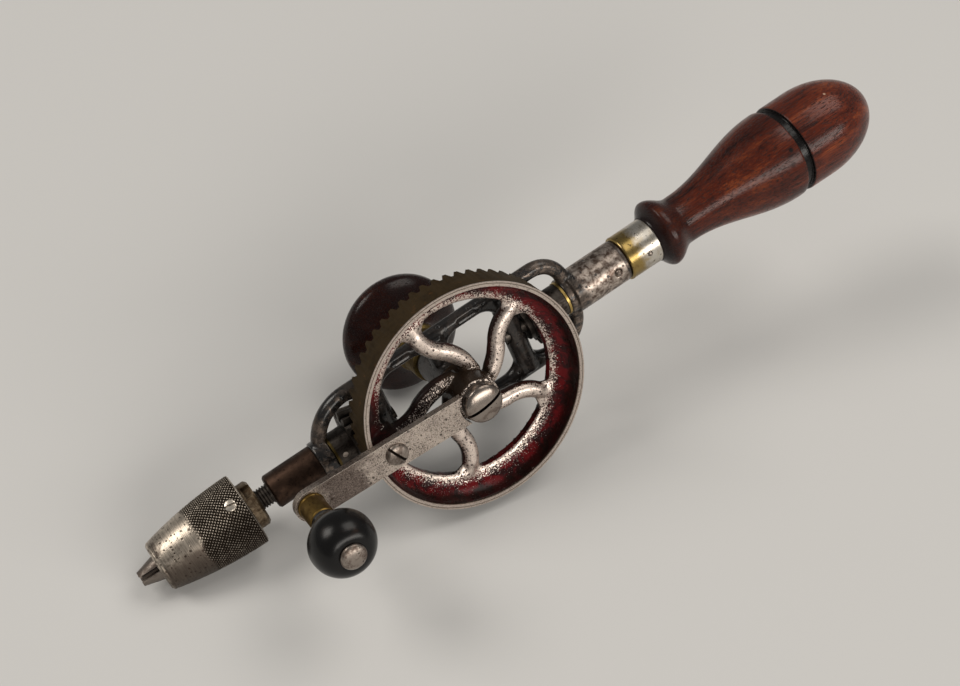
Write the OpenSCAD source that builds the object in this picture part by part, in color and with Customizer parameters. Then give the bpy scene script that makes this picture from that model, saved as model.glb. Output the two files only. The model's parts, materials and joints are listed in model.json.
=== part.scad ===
// Eggbeater hand drill, lying on a flat surface on its chuck, wheel rim and side knob.
// Sizes are in millimetres. The pieces are laid out about the spindle, which runs along X
// towards the main handle, with the wheel's axle along Z, and are then set down at rest.

/* [Wheel and gears] */
// pitch diameter of the wheel's tooth ring
wheel_d = 95.25; // [92:0.25:98]
// front edge of the rim above the spindle's axis
rim_front = 25.2; // [24.4:0.1:26.5]
// thickness of the rim's wall
rim_wall = 2; // [1.6:0.1:2.4]
// width of the teeth along the cone
tooth_face = 8; // [7:0.5:8.5]
// width of the band from the rim's outside to the windows
ring_band = 10.5; // [10:0.1:11.5]
// radius of a spoke's round section
spoke_r = 3; // [2.6:0.1:3.4]
// diameter of the wheel's hub
hub_d = 18; // [17:0.5:19]
// diameter of the axle the wheel turns on
axle_d = 10; // [9:0.5:11]

/* [Crank] */
// distance from the axle to the crank grip
crank_throw = 76.5; // [71:0.5:82]
// width of the crank arm
arm_w = 13; // [12:0.5:14]
// thickness of the crank arm
arm_t = 3.2; // [2.8:0.1:3.6]
// largest diameter of the crank grip
grip_d = 25.5; // [23:0.5:28]
// length of the crank grip
grip_len = 26; // [24:0.5:29]
// length of the brass collar under the grip
collar_len = 13; // [11:0.5:15]
// diameter of the crank pin
crank_pin_d = 6; // [5:0.5:6.5]

/* [Spindle and chuck] */
// diameter of the spindle
spindle_d = 8.4; // [7.6:0.2:8.8]
// outside diameter of the front bearing
bearing_d = 14.4; // [13.6:0.2:15.4]
// length of the front bearing ahead of the frame
bearing_len = 21.6; // [18:0.2:25]
// length of bare spindle between the bearing and the chuck
neck_len = 5.6; // [4.5:0.1:7]
// length of the chuck's shell
shell_len = 40; // [38:0.5:42]
// diameter of the shell at its back
shell_d = 30.4; // [29.6:0.2:32]
// diameter of the shell at its nose
nose_d = 20.4; // [20:0.2:21.4]
// diameter of the bit held by the jaws at rest
bit_d = 3.6; // [3.4:0.1:4.2]
// how far the jaws stand out of the nose
jaw_out = 8; // [7:0.5:9]

/* [Frame] */
// diameter of the frame's limbs
limb_d = 6.4; // [6:0.2:7.2]
// diameter of the handle socket
socket_d = 18.4; // [17.6:0.2:19.4]
// length of the handle socket behind the frame
socket_len = 23.2; // [20:0.2:26]
// diameter of the axle boss
boss_d = 16; // [15:0.5:17]
// depth of the axle boss behind the spindle's axis
boss_back = 13; // [12:0.5:14]

/* [Main handle] */
// outside diameter of the ferrule
ferrule_d = 20; // [19.2:0.2:21]
// length of the ferrule
ferrule_len = 15.5; // [13:0.5:18]
// diameter of the bead beside the ferrule
bead_d = 30; // [27:0.5:33]
// largest diameter of the handle
handle_d = 40.5; // [38:0.5:43]
// length of the handle from the ferrule to the cap
handle_len = 70; // [66:1:74]
// length of the cap
cap_len = 46.5; // [42:0.5:51]
// diameter of the hollow for spare bits
store_d = 24; // [21:0.5:25]

/* [Side handle] */
// largest diameter of the side knob
side_d = 52; // [48:0.5:56]
// height of the side knob
side_len = 28; // [25:0.5:31]
// length of the side ferrule
side_ferrule_len = 17; // [14:0.5:20]

/* [Fits] */
// radial clearance where one piece turns or slides in another
run_gap = 0.06; // [0.03:0.01:0.09]
// side clearance between facing turning pieces
end_gap = 0.2; // [0.1:0.05:0.35]
// backlash of the gears at the pitch line
backlash = 0.45; // [0.35:0.05:0.6]

/* [Hidden] */
$fn = 96;

// how the drill lies at rest
rest_roll = 68.598;
rest_tilt = 13.318;
rest_shift = [-36.370, 3.296, 41.105];

// how far a cut runs past the face it leaves, and a length that runs right through any piece
over = 1;
through = 40;

// gears
wheel_teeth = 60;
pinion_teeth = 15;
pressure = 20;
wheel_r = wheel_d / 2;
pinion_r = wheel_r * pinion_teeth / wheel_teeth;
cone = atan(pinion_r / wheel_r);
tooth_pitch = PI * wheel_d / wheel_teeth;
module_mm = wheel_d / wheel_teeth;
pinion_add = 0.9 * module_mm;
pinion_ded = 1.05 * module_mm;
wheel_add = 0.8 * module_mm;
wheel_ded = 1.15 * module_mm;
gap_w = tooth_pitch / 2 + backlash / 2;

// wheel
tooth_land = 0.4;
rim_r = wheel_r + tooth_land;
ring_in = rim_r - ring_band;
ring_z0 = 12;
ring_z1 = 16.2;
ring_edge = 0.6;
ring_land = 1.5;
hub_r = hub_d / 2;
hub_z0 = 8.2;
hub_rise = 1.6;
hub_z1 = rim_front + hub_rise;
spoke_count = 5;
spoke_first = 34;
spoke_z = 14.2;

// a spoke leaves the hub off centre, bends one way and then the other, and runs into the ring;
// each stretch is a step thinner than the one before and starts a little inside it
spoke_start = [8, -7];
bend_1_r = 22.7;
bend_1_a = 35;
bend_2_r = 17.4;
bend_2_a = 45;
spoke_sink = 1.6;
spoke_root = 6;
spoke_step = 0.15;
spoke_lap = 0.8;
bend_2_at = spoke_start + bend_1_r * [sin(bend_1_a), 1 - cos(bend_1_a)];
spoke_out_a = bend_1_a - bend_2_a;
lap_a = spoke_lap / bend_2_r * 180 / PI;
spoke_end_at = bend_2_at + bend_2_r * [sin(bend_1_a) - sin(spoke_out_a), cos(spoke_out_a) - cos(bend_1_a)];

// crank arm, its screw and its seat for the collar
arm_angle = 177;
arm_z = rim_front;
arm_top = arm_z + arm_t;
arm_gap = 0.4;
arm_screw_in = 9.2;
arm_screw_r = rim_r - arm_screw_in;
arm_thread_r = 2;
arm_thread_len = 8;
arm_head_r = 4.6;
arm_head_edge = 0.6;
arm_head_h = 2.4;
arm_slot_w = 1.1;
arm_slot_depth = 1.5;
arm_slot_a = -61;
seat_depth = 0.6;
seat_lip = 0.9;
seat_z = arm_top - seat_depth;
pad_w = 9;
pad_half = 5;
pad_z0 = ring_z0 + ring_edge;

// crank grip, its collar and the head of its pin
collar_r = 5.5;
collar_edge = 0.6;
grip_z0 = seat_z + collar_len + end_gap;
grip_z1 = grip_z0 + grip_len;
grip_neck_r = 5.3;
grip_top_r = 5.4;
grip_wide = 0.6;
grip_flat = 0.5;
pin_head_r = 5.1;
pin_head_edge = 0.5;
pin_head_h = 2.4;

// axle and the screw that keeps the wheel on it
axle_r = axle_d / 2;
axle_base = -1;
axle_end = hub_z1 + end_gap;
hub_thread_r = 2.5;
hub_thread_len = 12;
hub_washer_t = 1;
hub_washer_in = 1;
hub_head_r = hub_r - hub_washer_in;
hub_head_z = axle_end + hub_washer_t;
hub_head_edge = 2.2;
hub_head_h = 5;
hub_slot_w = 1.3;
hub_slot_depth = 2.2;
hub_slot_a = 8;

// frame, the same about the axle towards each end
limb_r = limb_d / 2;
limb_clear = 3.1;
limb_y = pinion_r + pinion_add + limb_clear + limb_r;
back_corner = 12;
front_corner = 19;
wall_x = wheel_r + 12.4;
wall_in = wall_x - limb_r;
wall_out = wall_x + limb_r;
cross_x = wheel_r - 16;
cross_r = 4.6;
axle_bar_r = 5;
boss_r = boss_d / 2;
boss_front = hub_z0 - end_gap;
seat_r = boss_r + 0.5;
seat_cut = 4;
seat_stock = 0.3;
groove_x0 = 10;
groove_len = cross_x - cross_r - groove_x0 - 2;
groove_w = 2.4;
groove_depth = 0.8;

// spindle line, from the frame's front to the jaws
spindle_r = spindle_d / 2;
journal_r = spindle_r - 1.2;
pinion_toe = 1.5;
pinion_a0 = wheel_r - tooth_face * cos(cone) - pinion_toe;
pinion_a1 = wall_in - end_gap - 1;
hub_a0 = cross_x + cross_r + end_gap;
pinion_hub_r = pinion_r - 4.8;
pinion_pin_r = 1.2;
pinion_pin_x = 2.6 - pinion_a1;
washer_t = 1;
washer_r = boss_r - 0.6;
idler_r = 3.2;
spigot_r = bearing_d / 2 - 1.6;
bearing_edge = 0.8;
bearing_x1 = -wall_out;
bearing_x0 = bearing_x1 - bearing_len;
chuck_x = bearing_x0 - neck_len;
shank_len = 9;
neck_turns = 4;
neck_first = 0.8;
neck_pitch = 1.2;
neck_groove = 0.6;
neck_depth = 0.45;

// chuck: a body on the spindle, a shell screwed onto it and three jaws in the shell's cone
collar_w = 4.9;
chuck_collar_r = 9.8;
chuck_edge = 1;
notch_w = 6;
notch_r = 7.6;
notch_len = 3.8;
notch_a = 20;
shell_x1 = chuck_x - collar_w;
shell_x0 = shell_x1 - shell_len;
shell_edge = 0.8;
shell_steps = 10;
thread_r = 9.4;
thread_len = 13;
thread_edge = 0.8;
thread_gap = 0.4;
mouth_r = nose_d / 2 - 4.4;
cone_r = mouth_r + 5.7;
cone_len = shell_len - thread_len - 3;
shell_screw_x = shell_x1 - 5.4;
shell_screw_a = -52;
shell_screw_r = 1.4;
shell_screw_in = 1.5;
shell_head_r = 2.3;
shell_head_in = 1.5;
shell_head_out = 0.4;
shell_slot_w = 0.8;
shell_slot_depth = 0.9;
shell_slot_a = 20;
jaw_gap = 2.2;
jaw_clear = 0.6;
jaw_in = 15.5;
jaw_tip_r = 3;

// handle line, from the frame's back to the cap's end
socket_x1 = wall_out + socket_len;
socket_floor = 4;
tang_r = 3.2;
pin_turn = -4;
socket_pin_x = socket_x1 - 6;
socket_pin_r = 1.5;
socket_pin_in = 0.7;
ferrule_x0 = socket_x1;
ferrule_x1 = ferrule_x0 + ferrule_len;
ferrule_edge = 0.7;
ferrule_wall = 1.4;
ferrule_pin_x = ferrule_x0 + 0.62 * ferrule_len;
ferrule_pin_r = 1.3;
ferrule_pin_in = 0.6;
tenon_r = ferrule_d / 2 - ferrule_wall;
bead_x = ferrule_x1 + 5;
bead_flat = 0.4;
neck_x = bead_x + 10;
neck_flat = 2;
neck_r = bead_d / 2 - 4.2;
handle_x1 = ferrule_x1 + handle_len;
handle_edge = 0.6;
store_r = store_d / 2;
store_len = 32;
store_x0 = handle_x1 - store_len;
tang_x1 = store_x0 - 22;
cap_groove_w = 3.6;
cap_groove_depth = 1.8;
cap_x0 = handle_x1 + cap_groove_w;
cap_edge = 0.4;
cap_flat = 13;
cap_x1 = handle_x1 + cap_len;
cap_hollow = 0.45;
cap_spigot_len = 13;
cap_spigot_edge = 1;
cap_spigot_wall = 3.5;

// side handle line
side_z0 = -boss_back;
side_z1 = side_z0 - side_ferrule_len;
side_z2 = side_z1 - side_len;
side_stud_r = 4;
side_stud_z = side_z2 + 6;
side_rim_r = 10.4;
side_rim_h = 2;
side_ferrule_r = 9.2;
side_ferrule_edge = 0.8;
side_wide = 0.55;
side_flat = 1;

// sets the drill down at rest
module rest() {
    translate(rest_shift) rotate([0, -rest_tilt, 0]) rotate([rest_roll, 0, 0]) children();
}

// round bar or bore along X
module bar_x(x0, x1, r) {
    translate([x0, 0, 0]) rotate([0, 90, 0]) cylinder(h = x1 - x0, r = r);
}

// round bar along Y at a place on the spindle's axis
module bar_y(x, y0, y1, r) {
    translate([x, y0, 0]) rotate([-90, 0, 0]) cylinder(h = y1 - y0, r = r);
}

// round bar or bore along Z
module bar_z(z0, z1, r) {
    translate([0, 0, z0]) cylinder(h = z1 - z0, r = r);
}

// turned piece along X from points [x, radius]
module turned_x(points) {
    rotate([0, 90, 0]) rotate([0, 0, 90]) rotate_extrude() polygon([for (p = points) [p[1], p[0]]]);
}

// turned piece along Z from points [z, radius]
module turned_z(points) {
    rotate_extrude() polygon([for (p = points) [p[1], p[0]]]);
}

// slot right across a screw head whose top is at the origin
module slot(w, depth) {
    translate([-through / 2, -w / 2, -depth]) cube([through, w, depth + over]);
}

// domed head along Z with a straight edge below the dome
module head(z0, r, edge, h) {
    turned_z(concat([[z0, 0], [z0, r]], dome(z0 + edge, r, z0 + h, 0, 8)));
}

// plain pin along Z with a round end
module round_pin(z0, z1, r) {
    turned_z(concat([[z0, 0], [z0, r]], dome(z1, r, z1 + r, 0, 8)));
}

// points of a rounded outline from [x, r] to [x, r] by half a cosine
function ease(a, b, n) = [for (i = [0:n]) let (t = i / n)
    [a[0] + (b[0] - a[0]) * t, a[1] + (b[1] - a[1]) * (1 - cos(180 * t)) / 2]];

// points of a quarter ellipse that ends on the axis side
function dome(x0, r0, x1, r1, n) = [for (i = [0:n]) let (t = 90 * i / n)
    [x0 + (x1 - x0) * sin(t), r1 + (r0 - r1) * cos(t)]];

// one half of an end of the frame: limb and corner, on the +X and +Y side
module frame_limb(corner) {
    translate([0, limb_y, 0]) bar_x(0, wall_x - corner, limb_r);
    translate([wall_x - corner, limb_y - corner, 0]) rotate_extrude(angle = 90)
        translate([corner, 0]) circle(r = limb_r);
}

// one end of the frame: limbs, corners, wall and cross-bar, on the +X side
module frame_end(corner) {
    frame_limb(corner);
    mirror([0, 1, 0]) frame_limb(corner);
    bar_y(wall_x, corner - limb_y, limb_y - corner, limb_r);
    bar_y(cross_x, -limb_y, limb_y, cross_r);
}

module frame() {
    color([0.09, 0.08, 0.08]) rest() difference() {
        union() {
            frame_end(back_corner);
            mirror([1, 0, 0]) frame_end(front_corner);
            bar_y(0, -limb_y, limb_y, axle_bar_r);
            bar_z(-boss_back, boss_front, boss_r);
            bar_x(-wall_out, seat_stock - wall_in, boss_r);
            bar_x(wall_in, wall_out, boss_r);
            bar_x(wall_x, socket_x1, socket_d / 2);
        }
        bar_z(axle_base, through, axle_r);
        bar_z(-boss_back - over, axle_base + over, side_stud_r);
        bar_x(-wall_out - over, -wall_in + over, spigot_r);
        bar_x(-wall_in, seat_cut - wall_in, seat_r);
        bar_x(-cross_x - cross_r - over, -cross_x + cross_r + over, journal_r + run_gap);
        bar_x(cross_x - cross_r - over, wall_out, idler_r);
        bar_x(wall_out + socket_floor, socket_x1 + over, tang_r);
        rotate([pin_turn, 0, 0]) translate([socket_pin_x, 0, 0]) bar_z(tang_r, through, socket_pin_r);
        for (s = [1, -1], x = [groove_x0, -groove_x0 - groove_len])
            translate([x, s * limb_y - groove_w / 2, limb_r - groove_depth])
                cube([groove_len, groove_w, groove_depth + over]);
    }
}

module front_bearing() {
    color([0.45, 0.32, 0.22]) rest() difference() {
        union() {
            turned_x([[bearing_x0, 0], [bearing_x0, bearing_d / 2 - bearing_edge],
                [bearing_x0 + bearing_edge, bearing_d / 2], [bearing_x1, bearing_d / 2], [bearing_x1, 0]]);
            bar_x(bearing_x1 - over, -wall_in, spigot_r);
        }
        bar_x(bearing_x0 - over, -wall_in + over, spindle_r + run_gap);
    }
}

module axle_stud() {
    color([0.55, 0.54, 0.52]) rest() difference() {
        bar_z(axle_base, axle_end, axle_r);
        bar_z(axle_end - hub_thread_len, axle_end + over, hub_thread_r);
    }
}

module idler_shaft() {
    color([0.55, 0.54, 0.52]) rest() bar_x(cross_x - cross_r, wall_out, idler_r);
}

module idler_washer() {
    color([0.72, 0.58, 0.3]) rest() difference() {
        bar_x(wall_in - washer_t, wall_in, washer_r);
        bar_x(wall_in - washer_t - over, wall_in + over, idler_r);
    }
}

module handle_tang() {
    color([0.4, 0.39, 0.38]) rest() bar_x(wall_out + socket_floor, tang_x1, tang_r);
}

module socket_pin() {
    color([0.6, 0.58, 0.55]) rest() rotate([pin_turn, 0, 0]) translate([socket_pin_x, 0, 0])
        round_pin(tang_r, socket_d / 2 - socket_pin_in, socket_pin_r);
}

module ferrule() {
    color([0.75, 0.64, 0.38]) rest() difference() {
        turned_x([[ferrule_x0, 0], [ferrule_x0, ferrule_d / 2 - ferrule_edge],
            [ferrule_x0 + ferrule_edge, ferrule_d / 2], [ferrule_x1, ferrule_d / 2], [ferrule_x1, 0]]);
        bar_x(ferrule_x0 - over, ferrule_x1 + over, tenon_r);
        rotate([pin_turn, 0, 0]) translate([ferrule_pin_x, 0, 0]) bar_z(tang_r, through, ferrule_pin_r);
    }
}

module ferrule_pin() {
    color([0.7, 0.68, 0.64]) rest() rotate([pin_turn, 0, 0]) translate([ferrule_pin_x, 0, 0])
        round_pin(tang_r, ferrule_d / 2 - ferrule_pin_in, ferrule_pin_r);
}

module main_handle() {
    color([0.28, 0.09, 0.05]) rest() difference() {
        turned_x(concat([[ferrule_x0, 0], [ferrule_x0, tenon_r], [ferrule_x1, tenon_r]],
            ease([ferrule_x1, ferrule_d / 2 + bead_flat], [bead_x, bead_d / 2], 6),
            ease([bead_x + bead_flat, bead_d / 2], [neck_x, neck_r], 8),
            ease([neck_x + neck_flat, neck_r], [handle_x1 - neck_flat, handle_d / 2], 14),
            [[handle_x1, handle_d / 2 - handle_edge], [handle_x1, 0]]));
        bar_x(ferrule_x0 - over, tang_x1, tang_r);
        bar_x(store_x0, handle_x1 + over, store_r);
        rotate([pin_turn, 0, 0]) translate([ferrule_pin_x, 0, 0]) bar_z(0, tenon_r + over, ferrule_pin_r);
    }
}

module handle_cap() {
    spigot_x = handle_x1 - cap_spigot_len;
    spigot_r = store_r - run_gap;
    groove_r = handle_d / 2 - cap_groove_depth;
    color([0.3, 0.1, 0.05]) rest() difference() {
        turned_x(concat([[spigot_x, 0], [spigot_x, spigot_r - cap_spigot_edge],
            [spigot_x + cap_spigot_edge, spigot_r], [handle_x1, spigot_r], [handle_x1, groove_r],
            [cap_x0, groove_r], [cap_x0, handle_d / 2 - cap_edge]],
            dome(cap_x0 + cap_flat, handle_d / 2, cap_x1, 0, 16)));
        bar_x(spigot_x - over, cap_x0 + cap_hollow * cap_len, store_r - cap_spigot_wall);
    }
}

module hub_washer() {
    color([0.35, 0.3, 0.25]) rest() difference() {
        bar_z(axle_end, axle_end + hub_washer_t, hub_r - hub_washer_in);
        bar_z(axle_end - over, axle_end + hub_washer_t + over, hub_thread_r);
    }
}

module hub_screw() {
    color([0.7, 0.68, 0.62]) rest() difference() {
        union() {
            bar_z(axle_end - hub_thread_len, hub_head_z + over, hub_thread_r);
            head(hub_head_z, hub_head_r, hub_head_edge, hub_head_h);
        }
        rotate([0, 0, hub_slot_a]) translate([0, 0, hub_head_z + hub_head_h]) slot(hub_slot_w, hub_slot_depth);
    }
}

module side_stud() {
    color([0.5, 0.49, 0.47]) rest() bar_z(side_stud_z, axle_base, side_stud_r);
}

module side_ferrule() {
    color([0.5, 0.45, 0.28]) rest() difference() {
        turned_z([[side_z1, 0], [side_z1, side_rim_r], [side_z1 + side_rim_h, side_rim_r],
            [side_z1 + 2 * side_rim_h, side_ferrule_r], [side_z0 - side_ferrule_edge, side_ferrule_r],
            [side_z0, side_ferrule_r - side_ferrule_edge], [side_z0, 0]]);
        bar_z(side_z1 - over, side_z0 + over, side_stud_r);
    }
}

module side_knob() {
    wide_z = side_z1 - side_wide * side_len;
    color([0.16, 0.05, 0.04]) rest() difference() {
        turned_z(concat([[side_z1, 0]], ease([side_z1, side_rim_r], [wide_z, side_d / 2], 10),
            dome(wide_z - side_flat, side_d / 2, side_z2, 0, 12)));
        bar_z(side_stud_z, side_z1 + over, side_stud_r);
    }
}

// one S-shaped spoke of the wheel
module spoke() {
    translate([spoke_start[0] - spoke_root, spoke_start[1], spoke_z]) rotate([0, 90, 0])
        cylinder(h = spoke_root + spoke_lap, r = spoke_r + spoke_step);
    translate([spoke_start[0], spoke_start[1] + bend_1_r, spoke_z]) rotate([0, 0, -90])
        rotate_extrude(angle = bend_1_a) translate([bend_1_r, 0]) circle(r = spoke_r);
    translate([bend_2_at[0], bend_2_at[1], spoke_z]) rotate([0, 0, bend_1_a]) translate([0, -bend_2_r, 0])
        rotate([0, 0, 90 - bend_2_a]) rotate_extrude(angle = bend_2_a + lap_a)
            translate([bend_2_r, 0]) circle(r = spoke_r - spoke_step);
    translate([spoke_end_at[0], spoke_end_at[1], spoke_z]) rotate([0, 90, spoke_out_a])
        translate([0, 0, -spoke_lap])
            cylinder(h = ring_in + spoke_sink + spoke_lap - spoke_end_at[0], r = spoke_r - 2 * spoke_step);
}

// one tooth space of the wheel, cut along the pitch cone
module wheel_space() {
    t = tan(pressure);
    top = wheel_add + over;
    translate([wheel_r, 0, pinion_r]) rotate([0, 90 - cone, 0]) translate([0, 0, -tooth_face - 2 * over])
        linear_extrude(height = tooth_face + 6 * over) polygon([[-wheel_ded, gap_w / 2 - wheel_ded * t],
            [top, gap_w / 2 + top * t], [top, -gap_w / 2 - top * t], [-wheel_ded, -gap_w / 2 + wheel_ded * t]]);
}

// toothed ring with a hollow sweep up to the rim's front edge
module toothed_ring() {
    tip = [rim_r, pinion_r - wheel_add * cos(cone)];
    tip_in = [rim_r - tooth_face * cos(cone), tip[1] - tooth_face * sin(cone)];
    land_r = ring_in + ring_land;
    sweep = [for (p = dome(land_r, rim_front, rim_r - rim_wall, ring_z1, 8))
        [p[0], rim_front + ring_z1 - p[1]]];
    difference() {
        rotate_extrude() polygon(concat([tip, [rim_r, rim_front]], [for (i = [len(sweep) - 1:-1:0]) sweep[i]],
            [[ring_in, ring_z1 - ring_edge], [ring_in, ring_z0], [tip_in[0] - ring_edge, ring_z0], tip_in]));
        for (i = [0:wheel_teeth - 1]) rotate([0, 0, i * 360 / wheel_teeth]) wheel_space();
    }
}

module drive_wheel() {
    color([0.4, 0.08, 0.07]) rest() difference() {
        union() {
            toothed_ring();
            bar_z(hub_z0, hub_z1, hub_r);
            for (i = [0:spoke_count - 1]) rotate([0, 0, spoke_first + i * 360 / spoke_count]) spoke();
            rotate([0, 0, arm_angle]) translate([arm_screw_r - pad_half, -pad_w / 2, pad_z0])
                cube([2 * pad_half, pad_w, arm_z - pad_z0]);
        }
        bar_z(hub_z0 - over, hub_z1 + over, axle_r + run_gap);
        rotate([0, 0, arm_angle]) translate([arm_screw_r, 0, 0])
            bar_z(arm_z - arm_thread_len, arm_z + over, arm_thread_r);
    }
}

module crank_arm() {
    color([0.62, 0.58, 0.55]) rest() rotate([0, 0, arm_angle]) difference() {
        union() {
            translate([0, -arm_w / 2, arm_z]) cube([crank_throw, arm_w, arm_t]);
            translate([crank_throw, 0, 0]) bar_z(arm_z, arm_top, arm_w / 2);
        }
        bar_z(arm_z - over, arm_top + over, hub_r + arm_gap);
        translate([arm_screw_r, 0, 0]) bar_z(arm_z - over, arm_top + over, arm_thread_r);
        translate([crank_throw, 0, 0]) bar_z(arm_z - over, arm_top + over, crank_pin_d / 2);
        translate([crank_throw, 0, 0]) bar_z(seat_z, arm_top + over, arm_w / 2 - seat_lip);
    }
}

module crank_screw() {
    color([0.55, 0.52, 0.5]) rest() rotate([0, 0, arm_angle]) translate([arm_screw_r, 0, 0]) difference() {
        union() {
            bar_z(arm_z - arm_thread_len, arm_top, arm_thread_r);
            head(arm_top, arm_head_r, arm_head_edge, arm_head_h);
        }
        rotate([0, 0, arm_slot_a]) translate([0, 0, arm_top + arm_head_h]) slot(arm_slot_w, arm_slot_depth);
    }
}

module crank_pin() {
    head_z = grip_z1 + end_gap;
    color([0.66, 0.62, 0.58]) rest() rotate([0, 0, arm_angle]) translate([crank_throw, 0, 0]) union() {
        bar_z(arm_z, head_z + pin_head_edge, crank_pin_d / 2);
        head(head_z, pin_head_r, pin_head_edge, pin_head_h);
    }
}

module crank_collar() {
    z1 = seat_z + collar_len;
    color([0.7, 0.55, 0.22]) rest() rotate([0, 0, arm_angle]) translate([crank_throw, 0, 0]) difference() {
        turned_z([[seat_z, 0], [seat_z, collar_r], [z1 - collar_edge, collar_r],
            [z1, collar_r - collar_edge], [z1, 0]]);
        bar_z(seat_z - over, z1 + over, crank_pin_d / 2);
    }
}

module crank_knob() {
    wide = grip_z0 + grip_wide * grip_len;
    color([0.05, 0.045, 0.045]) rest() rotate([0, 0, arm_angle]) translate([crank_throw, 0, 0]) difference() {
        turned_z(concat([[grip_z0, 0]], ease([grip_z0, grip_neck_r], [wide, grip_d / 2], 10),
            dome(wide + grip_flat, grip_d / 2, grip_z1, grip_top_r, 10), [[grip_z1, 0]]));
        bar_z(grip_z0 - over, grip_z1 + over, crank_pin_d / 2 + run_gap);
    }
}

module spindle() {
    color([0.5, 0.48, 0.46]) rest() difference() {
        union() {
            bar_x(chuck_x - shank_len, -hub_a0, spindle_r);
            bar_x(-hub_a0 - over, -cross_x + cross_r, journal_r);
        }
        translate([pinion_pin_x, 0, 0]) bar_z(-through / 2, through / 2, pinion_pin_r);
        for (i = [0:neck_turns - 1]) translate([chuck_x + neck_first + i * neck_pitch, 0, 0]) difference() {
            bar_x(0, neck_groove, spindle_r + over);
            bar_x(0, neck_groove, spindle_r - neck_depth);
        }
    }
}

// half-angle of a tooth space of the pinion at a radius of its back cone
function inv(a) = tan(a) * 180 / PI - a;
function space_angle(r, pr, n) = 180 / n - ((tooth_pitch - gap_w) / pr * 90 / PI + inv(pressure)
    - inv(acos(min(1, pr * cos(pressure) / r))));

// one tooth space of the pinion, cut along the pitch cone
module pinion_space() {
    pr = pinion_r / cos(cone);
    n = pinion_teeth / cos(cone);
    base_r = pr * cos(pressure);
    radii = concat([pr - pinion_ded, base_r], [for (k = [-0.15, 0.35, 0.7, 1]) pr + k * pinion_add],
        [pr + pinion_add + over]);
    side = [for (r = radii) let (a = space_angle(max(r, base_r), pr, n)) [r * cos(a) - pr, r * sin(a)]];
    translate([pinion_r, 0, wheel_r]) rotate([0, cone, 0]) translate([0, 0, -tooth_face - 3 * over])
        linear_extrude(height = tooth_face + 6 * over)
            polygon(concat(side, [for (i = [len(side) - 1:-1:0]) [side[i][0], -side[i][1]]]));
}

// bevel pinion about Z with the cone's point at the origin and a tooth on the +X side
module bevel_pinion(bore) {
    tip_r = pinion_r + pinion_add * cos(cone);
    tip_z = wheel_r - pinion_add * sin(cone);
    difference() {
        turned_z([[hub_a0, bore], [hub_a0, pinion_hub_r], [pinion_a0, pinion_hub_r],
            [tip_z - tooth_face * cos(cone), tip_r - tooth_face * sin(cone)], [tip_z, tip_r],
            [wheel_r + pinion_ded * sin(cone), pinion_r - pinion_ded * cos(cone)],
            [wheel_r + pinion_toe / 2, pinion_hub_r], [pinion_a1, pinion_hub_r], [pinion_a1, bore]]);
        for (i = [0:pinion_teeth - 1]) rotate([0, 0, (i + 0.5) * 360 / pinion_teeth]) pinion_space();
    }
}

module pinion() {
    color([0.42, 0.4, 0.38]) rest() difference() {
        rotate([0, -90, 0]) bevel_pinion(spindle_r);
        translate([pinion_pin_x, 0, 0]) bar_z(-through / 2, through / 2, pinion_pin_r);
    }
}

module pinion_pin() {
    color([0.6, 0.58, 0.55]) rest() translate([pinion_pin_x, 0, 0])
        bar_z(end_gap - pinion_hub_r, pinion_hub_r - end_gap, pinion_pin_r);
}

module thrust_washer() {
    color([0.7, 0.56, 0.28]) rest() difference() {
        bar_x(-pinion_a1 - washer_t, -pinion_a1, washer_r);
        bar_x(-pinion_a1 - washer_t - over, -pinion_a1 + over, spindle_r);
    }
}

module idler_pinion() {
    color([0.42, 0.4, 0.38]) rest() rotate([0, 90, 0]) rotate([0, 0, 180]) bevel_pinion(idler_r + run_gap);
}

module chuck_body() {
    x0 = shell_x1 - thread_len + thread_gap;
    r = thread_r - run_gap;
    color([0.66, 0.6, 0.52]) rest() difference() {
        turned_x([[x0, 0], [x0, r - thread_edge], [x0 + thread_edge, r], [shell_x1 + end_gap, r],
            [shell_x1 + end_gap, chuck_collar_r], [chuck_x - chuck_edge, chuck_collar_r],
            [chuck_x, chuck_collar_r - chuck_edge], [chuck_x, 0]]);
        bar_x(chuck_x - shank_len, chuck_x + over, spindle_r);
        for (a = [notch_a, notch_a + 180]) rotate([a, 0, 0])
            translate([chuck_x - notch_len, notch_r, -notch_w / 2])
                cube([notch_len + over, chuck_collar_r, notch_w]);
    }
}

// radius of the shell at a share of its length from the nose, along a parabola
function shell_r(t) = shell_d / 2 - (shell_d - nose_d) / 2 * (1 - t) * (1 - t);

module chuck_shell() {
    floor_x = shell_x1 - thread_len;
    neck_end_r = thread_r - over;
    color([0.6, 0.53, 0.45]) rest() difference() {
        turned_x(concat([[shell_x0, 0], [shell_x0, nose_d / 2 - shell_edge]],
            [for (i = [0:shell_steps]) let (x = shell_edge + (shell_len - 2 * shell_edge) * i / shell_steps)
                [shell_x0 + x, shell_r(x / shell_len)]],
            [[shell_x1, shell_d / 2 - shell_edge], [shell_x1, 0]]));
        bar_x(floor_x, shell_x1 + over, thread_r);
        turned_x([[shell_x0 - over, 0], [shell_x0 - over, mouth_r], [shell_x0, mouth_r],
            [shell_x0 + cone_len, cone_r], [floor_x - over, cone_r], [floor_x - over, neck_end_r],
            [floor_x + over, neck_end_r], [floor_x + over, 0]]);
        rotate([shell_screw_a, 0, 0]) translate([shell_screw_x, 0, 0]) {
            bar_z(thread_r + shell_screw_in, through, shell_screw_r);
            bar_z(shell_d / 2 - shell_head_in, through, shell_head_r);
        }
    }
}

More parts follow.
